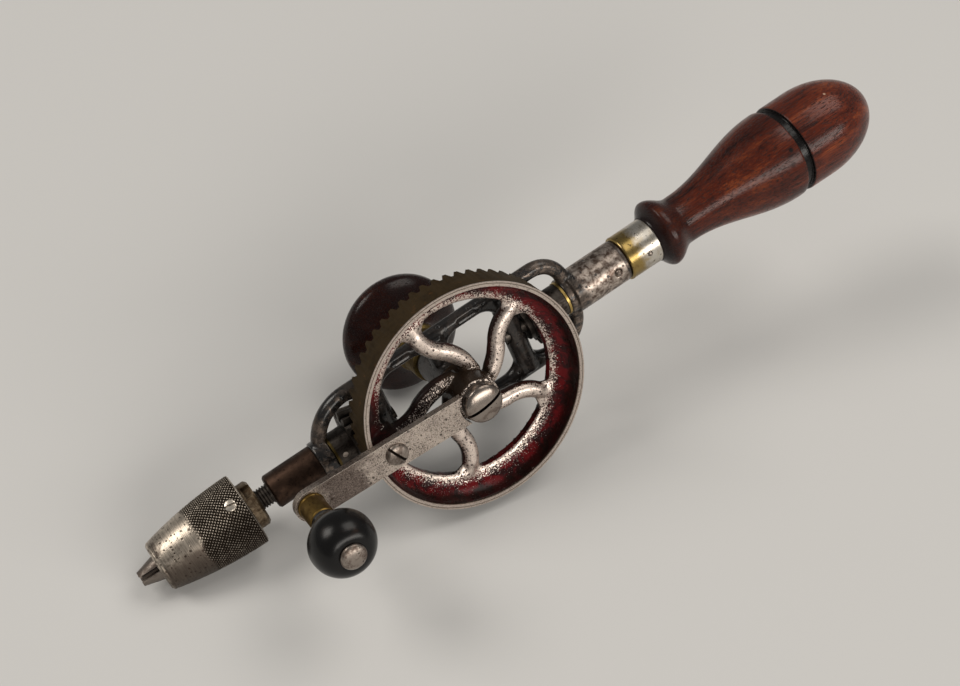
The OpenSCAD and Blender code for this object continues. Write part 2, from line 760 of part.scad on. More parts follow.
module chuck_screw() {
    head_z = shell_d / 2 - shell_head_in;
    top = shell_d / 2 + shell_head_out;
    color([0.8, 0.78, 0.74]) rest() rotate([shell_screw_a, 0, 0]) translate([shell_screw_x, 0, 0])
        difference() {
            union() {
                bar_z(thread_r + shell_screw_in, top - shell_slot_depth, shell_screw_r);
                bar_z(head_z, top, shell_head_r);
            }
            rotate([0, 0, shell_slot_a]) translate([0, 0, top]) slot(shell_slot_w, shell_slot_depth);
        }
}

// one jaw, on the +Y side: a sector of the chuck's cone with a groove for the bit
module jaw() {
    slope = (cone_r - mouth_r) / cone_len;
    tip_x = shell_x0 - jaw_out;
    back_x = shell_x0 + jaw_in;
    wall_r = mouth_r - jaw_clear;
    difference() {
        turned_x([[tip_x, 0], [tip_x, jaw_tip_r], [shell_x0 - over, wall_r - over * slope],
            [back_x, wall_r + jaw_in * slope], [back_x, 0]]);
        bar_x(tip_x - over, back_x + over, bit_d / 2);
        for (s = [0, 1]) mirror([0, 0, s]) rotate([60, 0, 0])
            translate([tip_x - over, -through, -jaw_gap / 2])
                cube([back_x - tip_x + 2 * over, 2 * through, through]);
    }
}

module jaw_1() {
    color([0.45, 0.42, 0.38]) rest() jaw();
}

module jaw_2() {
    color([0.45, 0.42, 0.38]) rest() rotate([120, 0, 0]) jaw();
}

module jaw_3() {
    color([0.45, 0.42, 0.38]) rest() rotate([240, 0, 0]) jaw();
}

frame();
front_bearing();
axle_stud();
idler_shaft();
idler_washer();
handle_tang();
socket_pin();
ferrule();
ferrule_pin();
main_handle();
hub_washer();
hub_screw();
side_stud();
side_ferrule();
side_knob();
drive_wheel();
crank_arm();
crank_screw();
crank_pin();
crank_collar();
crank_knob();
spindle();
pinion();
pinion_pin();
thrust_washer();
chuck_body();
chuck_shell();
chuck_screw();
jaw_1();
jaw_2();
jaw_3();
idler_pinion();
handle_cap();
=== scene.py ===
"""Looks of an eggbeater hand drill: its cast, turned, forged and knurled pieces, their finishes and a stage.

Lengths are in metres. Pieces are modelled about the drill's own axes, X along the spindle towards the
main handle and Z along the wheel's axle, and are then set down where the drill lies.
"""

import json
import math

import bpy
from bpy.props import FloatProperty, FloatVectorProperty, IntProperty, PointerProperty
from bpy.types import Operator, Panel, PropertyGroup
from mathutils import Matrix, Quaternion, Vector


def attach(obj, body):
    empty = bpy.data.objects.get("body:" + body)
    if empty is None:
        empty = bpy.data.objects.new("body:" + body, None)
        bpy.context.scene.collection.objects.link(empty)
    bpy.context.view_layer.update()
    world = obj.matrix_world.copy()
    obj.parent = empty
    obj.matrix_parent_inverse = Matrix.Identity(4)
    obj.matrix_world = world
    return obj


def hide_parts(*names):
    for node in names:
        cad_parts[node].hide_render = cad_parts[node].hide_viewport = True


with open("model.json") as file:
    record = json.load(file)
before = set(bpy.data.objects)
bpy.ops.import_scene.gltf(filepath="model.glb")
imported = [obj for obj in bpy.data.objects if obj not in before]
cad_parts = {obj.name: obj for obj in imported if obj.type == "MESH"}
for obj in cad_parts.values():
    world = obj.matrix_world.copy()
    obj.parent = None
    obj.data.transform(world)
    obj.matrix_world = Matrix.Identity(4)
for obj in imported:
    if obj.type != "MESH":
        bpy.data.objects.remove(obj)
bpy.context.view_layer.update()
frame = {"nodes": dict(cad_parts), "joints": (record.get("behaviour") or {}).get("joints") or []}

bl_info = {
    "name": "Eggbeater hand drill",
    "version": (1, 0, 0),
    "blender": (4, 5, 0),
    "location": "View3D > Sidebar > Hand drill",
    "description": "Models and finishes an eggbeater hand drill around its frame of solids",
    "category": "Object",
}

MM = 0.001
SKY_TINT = (1.0, 0.99, 0.97, 1.0)
LAMP_TINT = (1.0, 0.955, 0.89)

# The wheel: its front band and its windows, inwards from the rim, and its hub.
RIM_BAND = 3.0 * MM
WINDOW_BAND = 9.5 * MM
HUB_RADIUS = 11.0 * MM

# Where the wheel's spokes meet its ring, how they lean there, and the flat spread at their ends.
SPOKES = 5
FIRST_SPOKE = math.radians(33)
SPOKE_LEAN = math.radians(10)
FLARE_HEIGHT = 4.6 * MM
FLARE_LIFT = 0.3 * MM

# Fits between the pieces.
FERRULE_WALL = 1.4 * MM
CRANK_PIN = 3.0 * MM
RUNNING_FIT = 0.06 * MM

# Marks on the wood, in millimetres along the drill's own axes.
DENT = (167.9, 9.8, 17.7)
CHIP = (196.3, 17.7, 8.3)

# The drill's own axes, from the joints of the crank and the spindle.
JOINTS = {joint["name"]: joint for joint in frame["joints"]}
AXLE = Vector(JOINTS["crank_turn"]["axis"]).normalized()
SPINDLE = Vector(JOINTS["spindle_spin"]["axis"]).normalized()
CENTRE = Vector(JOINTS["crank_turn"]["pos_m"])
DRILL = Matrix.Translation(CENTRE) @ Matrix((SPINDLE, AXLE.cross(SPINDLE), AXLE)).transposed().to_4x4()
TO_DRILL = DRILL.inverted()
GRIP_SPOT = TO_DRILL @ Vector(JOINTS["grip_spin"]["pos_m"])
ARM_ANGLE = math.atan2(GRIP_SPOT.y, GRIP_SPOT.x)

# Slots of the screws: how they are turned, and how wide they are.
HUB_SLOT = (math.radians(8), 1.3 * MM)
ARM_SLOT = (ARM_ANGLE - math.radians(61), 1.1 * MM)
SHELL_SLOT = (math.radians(-9), 0.8 * MM)


def spots_of(node):
    """Corners of a CAD node along the drill's own axes."""
    return [TO_DRILL @ corner.co for corner in frame["nodes"][node].data.vertices]


def reach(node):
    """Lowest and highest corner of a CAD node's box along the drill's own axes."""
    spots = spots_of(node)
    low = Vector([min(spot[i] for spot in spots) for i in range(3)])
    high = Vector([max(spot[i] for spot in spots) for i in range(3)])
    return low, high


def middle_of(node):
    """Middle of a CAD node's box along the drill's own axes."""
    low, high = reach(node)
    return (low + high) / 2


def rim_front():
    """How far the wheel's rim stands out along the axle, without the hub, which stands higher."""
    inside = reach("drive_wheel")[1].y - RIM_BAND
    return max(spot.z for spot in spots_of("drive_wheel") if spot.xy.length > inside)


def across_shell():
    """The turn that stands a screw made along Z across the chuck's shell."""
    middle = middle_of("chuck_screw")
    outward = Vector((0, middle.y, middle.z)).normalized()
    along = Vector((1, 0, 0))
    return Matrix((along, outward.cross(along), outward)).transposed()


def slot_of(node, slot, turned=Matrix.Identity(3)):
    """A screw's slot in millimetres along the drill's own axes: its middle, the way across and its width."""
    angle, width = slot
    across = turned @ Vector((-math.sin(angle), math.cos(angle), 0))
    return middle_of(node) / MM, across, width / MM


# Settings

def size(name, default, description):
    """A length that a user may change."""
    return FloatProperty(
        name=name, description=description, default=default, min=0.0, precision=5, unit="LENGTH"
    )


def count(name, default, description, least=0):
    """A whole number that a user may change."""
    return IntProperty(name=name, description=description, default=default, min=least)


def level(name, default, description, least=0.0):
    """A plain number that a user may change."""
    return FloatProperty(name=name, description=description, default=default, min=least)


def angle_of(name, degrees, description):
    """An angle that a user may change."""
    return FloatProperty(name=name, description=description, default=math.radians(degrees), subtype="ANGLE")


def colour(name, default, description):
    """A linear colour that a user may change."""
    return FloatVectorProperty(
        name=name, description=description, default=default, size=3, min=0.0, max=1.0, subtype="COLOR"
    )


class CastingSizes(PropertyGroup):
    """Sizes of the cast pieces"""

    grain: size("Casting grain", 0.0005, "Size of the facets that a casting is rounded with")
    soften: count("Softening", 8, "How often the frame's corners are eased")
    limb: size("Limb", 0.0064, "Diameter of the frame's limbs")
    bar: size("Bar", 0.0092, "Diameter of the frame's cross-bars")
    web: size("Web", 0.0112, "Radius of the webs between the bars and the limbs")
    wheel_soften: count("Wheel softening", 10, "How often the wheel's corners are eased")
    spoke_stock: size("Spoke stock", 0.0007, "What the easing takes off a spoke's radius")
    spoke: size("Spoke", 0.0054, "Diameter of a spoke at the ring")
    spoke_drop: size("Spoke drop", 0.0110, "How far the spokes lie below the rim's front")
    flare: size("Flare", 0.0085, "Length of a spoke's spread at the ring")
    flare_sink: size("Flare sink", 0.0045, "How far a spoke's spread runs on into the ring")
    flare_width: size("Flare width", 0.0160, "Width of a spoke's spread at the ring")
    rim_wall: size("Rim wall", 0.0011, "How much of the rim's wall is turned bright metal")
    rim_depth: size("Rim depth", 0.0009, "Depth of the turned land at the rim's front edge")
    edge: size("Edge", 0.0003, "Width of the worn edges of flat metal pieces")


class TurningSizes(PropertyGroup):
    """Sizes of the turned pieces"""

    steps: count("Steps", 128, "Facets around a turned piece", 12)
    bead: size("Bead", 0.030, "Diameter of the bead beside the ferrule")
    bead_length: size("Bead length", 0.005, "Length of the bead's rise from the ferrule")
    neck: size("Neck", 0.0216, "Diameter of the handle's neck")
    neck_length: size("Neck length", 0.010, "Length of the fall from the bead to the neck")
    groove: size("Groove", 0.0036, "Width of the groove between the handle and its cap")
    groove_depth: size("Groove depth", 0.0018, "Depth of the groove between the handle and its cap")
    store: size("Store", 0.024, "Diameter of the hollow for spare bits")
    store_length: size("Store length", 0.032, "Length of the hollow for spare bits")
    cap_flat: size("Cap flat", 0.013, "Length of the cap's straight side")
    spigot_wall: size("Spigot wall", 0.0035, "Thickness of the cap's spigot")
    edge: size("Edge", 0.0004, "Width of the eased edges of turned wood")
    hub_slot: size("Hub slot", 0.0020, "Depth of the hub screw's slot")
    arm_slot: size("Arm slot", 0.0015, "Depth of the slot of the arm's screw")
    shell_slot: size("Shell slot", 0.0007, "Depth of the slot of the chuck's screw")


class ChuckSizes(PropertyGroup):
    """Sizes of the chuck's shell"""

    knurls: count("Knurls", 62, "Number of knurls around the shell", 8)
    knurl_facets: count("Knurl facets", 8, "Facets across one knurl", 4)
    knurl_depth: size("Knurl depth", 0.00042, "Height of a knurl")
    knurl_start: size("Knurl start", 0.0165, "Length of the plain nose ahead of the knurls")
    bare_spot: size("Bare spot", 0.0027, "Radius of the plain spot around the shell's screw")
    wall: size("Wall", 0.0044, "Thickness of the shell at its mouth")
    mouth: size("Mouth", 0.0116, "Diameter of the shell's mouth")
    cone: size("Cone", 0.0057, "How much wider the shell's cone is at its back, in radius")
    thread: size("Thread", 0.0188, "Diameter of the thread inside the shell")
    thread_length: size("Thread length", 0.013, "Length of the thread inside the shell")


class FinishColours(PropertyGroup):
    """Colours of the finishes"""

    japan: colour("Black japan", (0.012, 0.011, 0.011), "Black lacquer of the frame")
    iron: colour("Iron", (0.24, 0.185, 0.15), "Worn iron under the lacquer")
    red: colour("Red japan", (0.118, 0.006, 0.008), "Red lacquer inside the wheel")
    bare: colour("Bare metal", (0.76, 0.65, 0.575), "Bare metal of the spokes")
    rim: colour("Rim", (0.042, 0.027, 0.012), "Tarnished steel of the tooth ring")
    steel: colour("Steel", (0.63, 0.54, 0.47), "Bright steel")
    stain: colour("Stain", (0.095, 0.064, 0.05), "Brown stain on steel")
    nickel: colour("Nickel", (0.60, 0.52, 0.43), "Worn nickel of the chuck")
    brass: colour("Brass", (0.50, 0.35, 0.12), "Brass of ferrules and collars")
    bronze: colour("Bronze", (0.062, 0.037, 0.026), "Brown bronze of the bearing")
    wood_dark: colour("Dark wood", (0.018, 0.005, 0.004), "Dark streaks of the rosewood")
    wood: colour("Wood", (0.078, 0.0145, 0.007), "Body colour of the rosewood")
    wood_light: colour("Light wood", (0.175, 0.040, 0.013), "Light streaks of the rosewood")
    lacquer: colour("Lacquer", (0.0042, 0.0038, 0.0038), "Black lacquer of the crank knob")
    floor: colour("Floor", (0.62, 0.615, 0.605), "Plain pale floor")


class StageSettings(PropertyGroup):
    """Camera and lamps"""

    azimuth: angle_of("Azimuth", -36.185, "Camera's turn")
    elevation: angle_of("Elevation", 46.942, "Camera's rise")
    roll: angle_of("Roll", 2.599, "Camera's lean")
    distance: size("Distance", 0.6076, "Camera's distance from its aim")
    aim: FloatVectorProperty(
        name="Aim", description="Point that the camera looks at", default=(-0.01858, 0.0074, 0.045), size=3,
        unit="LENGTH",
    )
    lens: level("Lens", 56.25, "Focal length on a 36 mm frame", 1.0)
    sky: level("Sky", 0.20, "Strength of the light from all round")
    key: level("Key lamp", 64.0, "Power of the lamp behind in watts")
    front: level("Front lamp", 92.0, "Power of the lamp in front in watts")
    fill: level("Fill lamp", 54.0, "Power of the lamp overhead in watts")


GROUPS = {
    "drill_castings": CastingSizes,
    "drill_turning": TurningSizes,
    "drill_chuck": ChuckSizes,
    "drill_colours": FinishColours,
    "drill_stage": StageSettings,
}


# Modelling

def take(piece):
    """Makes a piece the only selected and active object."""
    if bpy.context.object and bpy.context.object.mode != "OBJECT":
        bpy.ops.object.mode_set(mode="OBJECT")
    bpy.ops.object.select_all(action="DESELECT")
    piece.select_set(True)
    bpy.context.view_layer.objects.active = piece


def edit_all(piece):
    """Opens a piece in edit mode with everything selected."""
    take(piece)
    bpy.ops.object.mode_set(mode="EDIT")
    bpy.ops.mesh.select_all(action="SELECT")


def apply_all(piece):
    """Applies every modifier of a piece in order."""
    take(piece)
    for modifier in list(piece.modifiers):
        bpy.ops.object.modifier_apply(modifier=modifier.name)


def close_up(piece, gap=2e-6):
    """Merges doubled corners and turns all faces outwards."""
    edit_all(piece)
    bpy.ops.mesh.remove_doubles(threshold=gap)
    bpy.ops.mesh.normals_make_consistent(inside=False)
    bpy.ops.object.mode_set(mode="OBJECT")


def turn(name, outline, axis, steps, closed=False):
    """A turned piece: an outline of (along, radius) points is drawn by extrusion and spun about an axis."""
    along_x = axis == "X"
    spots = [Vector((along, radius, 0) if along_x else (radius, 0, along)) for along, radius in outline]
    if closed:
        spots.append(spots[0].copy())
    bpy.ops.object.select_all(action="DESELECT")
    bpy.ops.mesh.primitive_circle_add(vertices=3, radius=MM)
    piece = bpy.context.object
    piece.name = name
    bpy.ops.object.mode_set(mode="EDIT")
    bpy.ops.mesh.select_mode(type="VERT")
    bpy.ops.mesh.select_all(action="SELECT")
    bpy.ops.mesh.merge(type="CENTER")
    bpy.ops.mesh.select_all(action="SELECT")
    bpy.ops.transform.translate(value=spots[0])
    for here, there in zip(spots, spots[1:]):
        bpy.ops.mesh.extrude_vertices_move(TRANSFORM_OT_translate={"value": there - here})
    bpy.ops.mesh.select_all(action="SELECT")
    spin_axis = (1, 0, 0) if along_x else (0, 0, 1)
    bpy.ops.mesh.spin(steps=steps, angle=math.tau, center=(0, 0, 0), axis=spin_axis, use_auto_merge=True)
    close_up(piece, 1e-6)
    if len(piece.data.polygons) < steps:
        raise RuntimeError(f"{name} was not turned")
    return piece


def ease(start, end, steps):
    """Points from start to end along half a cosine."""
    shares = [i / steps for i in range(steps + 1)]
    rise = [(1 - math.cos(math.pi * share)) / 2 for share in shares]
    return [
        (start[0] + (end[0] - start[0]) * share, start[1] + (end[1] - start[1]) * lift)
        for share, lift in zip(shares, rise)
    ]


def dome(start, end, steps):
    """Points of a quarter ellipse from its widest point to its top."""
    angles = [math.pi / 2 * i / steps for i in range(steps + 1)]
    return [
        (start[0] + (end[0] - start[0]) * math.sin(angle), end[1] + (start[1] - end[1]) * math.cos(angle))
        for angle in angles
    ]


def copy_of(node, name):
    """A merged copy of a CAD node, about the drill's own axes."""
    piece = bpy.data.objects.new(name, frame["nodes"][node].data.copy())
    bpy.context.scene.collection.objects.link(piece)
    piece.data.transform(TO_DRILL)
    piece.data.materials.clear()
    take(piece)
    bpy.ops.mesh.customdata_custom_splitnormals_clear()
    close_up(piece)
    return piece


def twin(piece):
    """A copy of a piece with its own mesh."""
    made = piece.copy()
    made.data = piece.data.copy()
    bpy.context.scene.collection.objects.link(made)
    return made


def unite(piece, others):
    """Joins other pieces to a piece, as one mesh of overlapping shells."""
    take(piece)
    for other in others:
        other.select_set(True)
    bpy.ops.object.join()
    close_up(piece)


def join_flats(piece, angle=math.radians(0.4)):
    """Joins the triangles of flat faces."""
    edit_all(piece)
    bpy.ops.mesh.dissolve_limited(angle_limit=angle)
    bpy.ops.object.mode_set(mode="OBJECT")


def combine(piece, tool, operation):
    """Cuts a piece by a tool, or keeps only what lies in the tool."""
    boolean = piece.modifiers.new("cut", "BOOLEAN")
    boolean.operation = operation
    boolean.object = tool
    boolean.solver = "EXACT"
    apply_all(piece)
    bpy.data.objects.remove(tool)


def ease_edges(piece, width, segments=2, angle=math.radians(35)):
    """Rounds the sharp edges of a piece."""
    bevel = piece.modifiers.new("edges", "BEVEL")
    bevel.width = width
    bevel.segments = segments
    bevel.limit_method = "ANGLE"
    bevel.angle_limit = angle
    apply_all(piece)


def eased_copy(node, name, width):
    """A copy of a CAD node with its sharp edges rounded."""
    piece = copy_of(node, name)
    join_flats(piece)
    ease_edges(piece, width)
    return piece


def recast(piece, grain, soften):
    """Rounds a piece all over, as a casting is."""
    remesh = piece.modifiers.new("cast", "REMESH")
    remesh.mode = "VOXEL"
    remesh.voxel_size = grain
    remesh.use_smooth_shade = True
    smooth = piece.modifiers.new("soften", "SMOOTH")
    smooth.factor = 0.5
    smooth.iterations = soften
    apply_all(piece)


def cut_slot(piece, top, slot, depth, length):
    """Cuts a screwdriver's slot in a screw along Z, from its top down."""
    angle, width = slot
    bpy.ops.object.select_all(action="DESELECT")
    bpy.ops.mesh.primitive_cube_add(size=1)
    tool = bpy.context.object
    place = Matrix.Translation((0, 0, top)) @ Matrix.Rotation(angle, 4, "Z")
    tool.data.transform(place @ Matrix.Diagonal((length, width, 2 * depth, 1)))
    combine(piece, tool, "DIFFERENCE")


def dress(piece, finish, slot, body, *nodes, angle=math.radians(20)):
    """Sets a finished piece down where the drill lies, gives it its finish and ties it to its body."""
    take(piece)
    piece.matrix_world = DRILL
    bpy.ops.object.transform_apply(location=True, rotation=True, scale=True)
    bpy.ops.object.shade_smooth_by_angle(angle=angle)
    give_finish(piece, finish)
    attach(piece, body)
    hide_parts(*nodes)


def give_finish(piece, finish):
    """Gives a piece, or a CAD node that stays in view, its finish."""
    piece.data.materials.clear()
    piece.data.materials.append(FINISHES[finish])


# Finishes

EFFECTS = {}
FINISHES = {}


def scaled(colour, share):
    """A colour made darker or brighter."""
    return [channel * share for channel in colour]


class Shading:
    """A node tree being filled in, with short calls for the nodes that the finishes use."""

    def __init__(self, tree):
        self.tree = tree

    def node(self, kind, inputs=None, **settings):
        made = self.tree.nodes.new(kind)
        for name, value in settings.items():
            setattr(made, name, value)
        for name, value in (inputs or {}).items():
            self.feed(made.inputs[name], value)
        return made

    def feed(self, socket, value):
        if isinstance(value, bpy.types.NodeSocket):
            self.tree.links.new(value, socket)
        elif socket.type == "RGBA" and len(value) == 3:
            socket.default_value = (*value, 1.0)
        else:
            socket.default_value = value

    def maths(self, operation, first, second=0.0):
        return self.node("ShaderNodeMath", {0: first, 1: second}, operation=operation).outputs[0]

    def plus(self, first, second):
        return self.maths("ADD", first, second)

    def less(self, first, second):
        return self.maths("SUBTRACT", first, second)

    def times(self, first, second):
        return self.maths("MULTIPLY", first, second)

    def most(self, first, second):
        return self.maths("MAXIMUM", first, second)

    def span(self, value, low, high):
        """0 at low and 1 at high, smooth between them."""
        inputs = {"Value": value, "From Min": low, "From Max": high}
        return self.node("ShaderNodeMapRange", inputs, interpolation_type="SMOOTHSTEP").outputs[0]

    def mix(self, factor, first, second):
        """A colour between two colours."""
        return self.node("ShaderNodeMix", {0: factor, 6: first, 7: second}, data_type="RGBA").outputs[2]

    def blend(self, factor, first, second):
        """A value between two values."""
        return self.node("ShaderNodeMix", {0: factor, 2: first, 3: second}, data_type="FLOAT").outputs[0]

    def paint(self, shade, *coats):
        """A shade under coats of colour, each given as its mask, its share and its colour."""
        for mask, share, coat in coats:
            shade = self.mix(self.times(mask, share), shade, coat)
        return shade

    def noise(self, vector, scale, detail=3.0, roughness=0.55, distortion=0.0):
        inputs = {"Vector": vector, "Scale": scale, "Detail": detail, "Roughness": roughness}
        return self.node("ShaderNodeTexNoise", {**inputs, "Distortion": distortion}).outputs[0]

    def stretch(self, vector, scale):
        return self.node("ShaderNodeMapping", {"Vector": vector, "Scale": scale}).outputs[0]

    def apart(self, vector):
        return self.node("ShaderNodeSeparateXYZ", {"Vector": vector}).outputs

    def radius(self, first, second):
        """Distance from an axis, from the two other coordinates."""
        return self.maths("SQRT", self.plus(self.times(first, first), self.times(second, second)))


def new_effect(name, values, outputs):
    """A shared node group with a place, named values and outputs. Gives its shading, inputs and outputs."""
    tree = bpy.data.node_groups.new(name, "ShaderNodeTree")
    tree.interface.new_socket(name="Vector", in_out="INPUT", socket_type="NodeSocketVector")
    for label, value in values.items():
        socket = tree.interface.new_socket(name=label, in_out="INPUT", socket_type="NodeSocketFloat")
        socket.default_value = value
    for label in outputs:
        tree.interface.new_socket(name=label, in_out="OUTPUT", socket_type="NodeSocketFloat")
    EFFECTS[name] = tree
    shading = Shading(tree)
    return shading, shading.node("NodeGroupInput").outputs, shading.node("NodeGroupOutput").inputs


def make_mottle():
    """Cloudy patches with ragged edges."""
    shading, given, put_out = new_effect("mottle", {"Scale": 0.3, "Low": 0.45, "High": 0.6}, ["Mask"])
    broad = shading.noise(given["Vector"], given["Scale"], 6.0, 0.68, 0.4)
    shading.feed(put_out["Mask"], shading.span(broad, given["Low"], given["High"]))


def make_pits():
    """Scattered small pits of uneven size."""
    shading, given, put_out = new_effect("pits", {"Scale": 1.0, "Amount": 0.4}, ["Mask", "Height"])
    place = given["Vector"]
    bent = shading.node("ShaderNodeTexNoise", {"Vector": place, "Scale": 1.4, "Detail": 2.0}).outputs[1]
    warped = shading.node("ShaderNodeMix", {0: 0.35, 4: place, 5: bent}, data_type="VECTOR").outputs[1]
    cells = shading.node("ShaderNodeTexVoronoi", {"Vector": warped, "Scale": given["Scale"]}).outputs
    chance = shading.apart(cells["Color"])[0]
    radius = shading.times(shading.maths("POWER", chance, 1.6), given["Amount"])
    mask = shading.span(cells["Distance"], radius, shading.times(radius, 0.55))
    shading.feed(put_out["Mask"], mask)
    shading.feed(put_out["Height"], shading.less(1.0, mask))


def make_edge_wear():
    """Bare edges, broken up along their length, and hollows."""
    values = {"Sharpness": 0.53, "Spread": 0.05, "Scale": 0.35}
    shading, given, put_out = new_effect("edge wear", values, ["Mask", "Hollow"])
    point = shading.node("ShaderNodeNewGeometry").outputs["Pointiness"]
    ragged = shading.noise(given["Vector"], given["Scale"], 5.0, 0.65)
    worn = shading.plus(point, shading.times(shading.less(ragged, 0.5), 0.16))
    high = shading.plus(given["Sharpness"], given["Spread"])
    shading.feed(put_out["Mask"], shading.span(worn, given["Sharpness"], high))
    shading.feed(put_out["Hollow"], shading.span(point, 0.492, 0.44))


def make_grain():
    """Broad bands, streaks, fine lines and open pores of a hard wood, along X."""
    shading, given, put_out = new_effect("wood grain", {}, ["Tone", "Pores", "Sheen"])

    def streaked(share, *values):
        """Noise drawn out along X, where it keeps only a share of its scale."""
        return shading.noise(shading.stretch(given["Vector"], (share, 1.0, 1.0)), *values)

    bands = streaked(0.03, 0.11, 3.0, 0.55, 0.8)
    streaks = streaked(0.03, 0.5, 4.0, 0.6, 0.5)
    lines = streaked(0.04, 1.9, 4.0, 0.7, 0.3)
    figure = streaked(0.25, 0.13, 3.0, 0.5)
    tone = shading.times(shading.less(figure, 0.5), 0.35)
    for noise, share in ((bands, 0.30), (streaks, 0.28), (lines, 0.42)):
        tone = shading.plus(tone, shading.times(noise, share))
    shading.feed(put_out["Tone"], tone)
    shading.feed(put_out["Pores"], shading.span(streaked(0.10, 2.8, 2.0, 0.5), 0.575, 0.635))
    shading.feed(put_out["Sheen"], lines)


class Finish(Shading):
    """A material with its shader, and the surface's place in millimetres along the drill's own axes."""

    def __init__(self, name):
        material = bpy.data.materials.new(name)
        material.use_nodes = True
        FINISHES[name] = material
        super().__init__(material.node_tree)
        spots = self.node("ShaderNodeTexCoord").outputs
        self.normal = spots["Normal"]
        turned = {
            "Vector": spots["Object"],
            "Location": TO_DRILL.translation / MM,
            "Rotation": TO_DRILL.to_euler(),
            "Scale": (1 / MM, 1 / MM, 1 / MM),
        }
        self.place = self.node("ShaderNodeMapping", turned).outputs[0]

    def set(self, shade, roughness, normal, **others):
        """Sets the shader's sockets, the less usual ones by their names in small letters."""
        sockets = self.tree.nodes["Principled BSDF"].inputs
        values = {"base_color": shade, "roughness": roughness, "normal": normal, **others}
        for name, value in values.items():
            self.feed(sockets[name.replace("_", " ").title().replace("Ior", "IOR")], value)

    def effect(self, name, **values):
        """Places a shared effect on the surface with its own values."""
        inputs = {"Vector": self.place}
        inputs.update({label.title(): value for label, value in values.items()})
        return self.node("ShaderNodeGroup", inputs, node_tree=EFFECTS[name]).outputs

    def mottle(self, scale, low, high):
        return self.effect("mottle", scale=scale, low=low, high=high)[0]

    def pits(self, scale, amount):
        """The pits' mask and their height."""
        return self.effect("pits", scale=scale, amount=amount)

    def wear(self, sharpness, spread, scale):
        """The worn edges and the hollows."""
        return self.effect("edge wear", sharpness=sharpness, spread=spread, scale=scale)

    def cloud(self, scale, detail, roughness):
        """Noise over the whole surface."""
        return self.noise(self.place, scale, detail, roughness)

    def measure(self, operation, first, second):
        """A number from two vectors."""
        return self.node("ShaderNodeVectorMath", {0: first, 1: second}, operation=operation).outputs["Value"]

    def along(self, vector, way):
        """How far a vector goes along a way."""
        return self.measure("DOT_PRODUCT", vector, way)

    def facing(self, way):
        """How far the surface faces a way along the piece's own axes, from -1 to 1."""
        return self.along(self.normal, way)

    def slot(self, spot, way, width):
        """A screw's slot, from its middle, the way across it and its width."""
        off = self.less(self.along(self.place, way), Vector(spot).dot(way))
        return self.span(self.maths("ABSOLUTE", off), width / 2 + 0.06, width / 2 - 0.04)

    def drift(self, scale, width):
        """A cloudy shift, up to half a width each way, that makes the edge of a patch ragged."""
        return self.times(self.less(self.cloud(scale, 4.0, 0.62), 0.5), width)

    def mark(self, spot, width):
        """A small round mark at a spot."""
        return self.span(self.measure("DISTANCE", self.place, spot), width / 2, width / 4)

    def bump(self, height, depth, strength=1.0, over=None):
        """A bump of a depth in metres, over an earlier one if given."""
        inputs = {"Height": height, "Distance": depth, "Strength": strength}
        if over is not None:
            inputs["Normal"] = over
        return self.node("ShaderNodeBump", inputs).outputs[0]


def metal_finish(name, clean, dirty, rough=0.34, dirt=(0.10, 0.46, 0.66), pitting=0.34, slot=None):
    """Handled metal: cloudy stain, pits, dirt in the hollows, bright edges, and a dark slot in a screw."""
    finish = Finish(name)
    stain = finish.mottle(*dirt)
    pits, height = finish.pits(1.1, pitting)
    edges, hollows = finish.wear(0.52, 0.05, 0.5)
    fine = finish.cloud(3.2, 3.0, 0.6)
    shade = finish.paint(
        finish.mix(fine, scaled(clean, 0.82), clean),
        (stain, 0.85, dirty),
        (hollows, 0.75, scaled(dirty, 0.5)),
        (pits, 0.85, scaled(dirty, 0.35)),
        (edges, 0.6, scaled(clean, 1.25)),
    )
    if slot is not None:
        shade = finish.mix(finish.slot(*slot), shade, scaled(dirty, 0.2))
    spread = finish.blend(stain, rough, rough + 0.22)
    roughness = finish.blend(fine, finish.less(spread, 0.06), spread)
    normal = finish.bump(fine, 0.00002, 0.4, finish.bump(height, 0.00006, 0.7))
    finish.set(shade, roughness, normal, metallic=1.0)


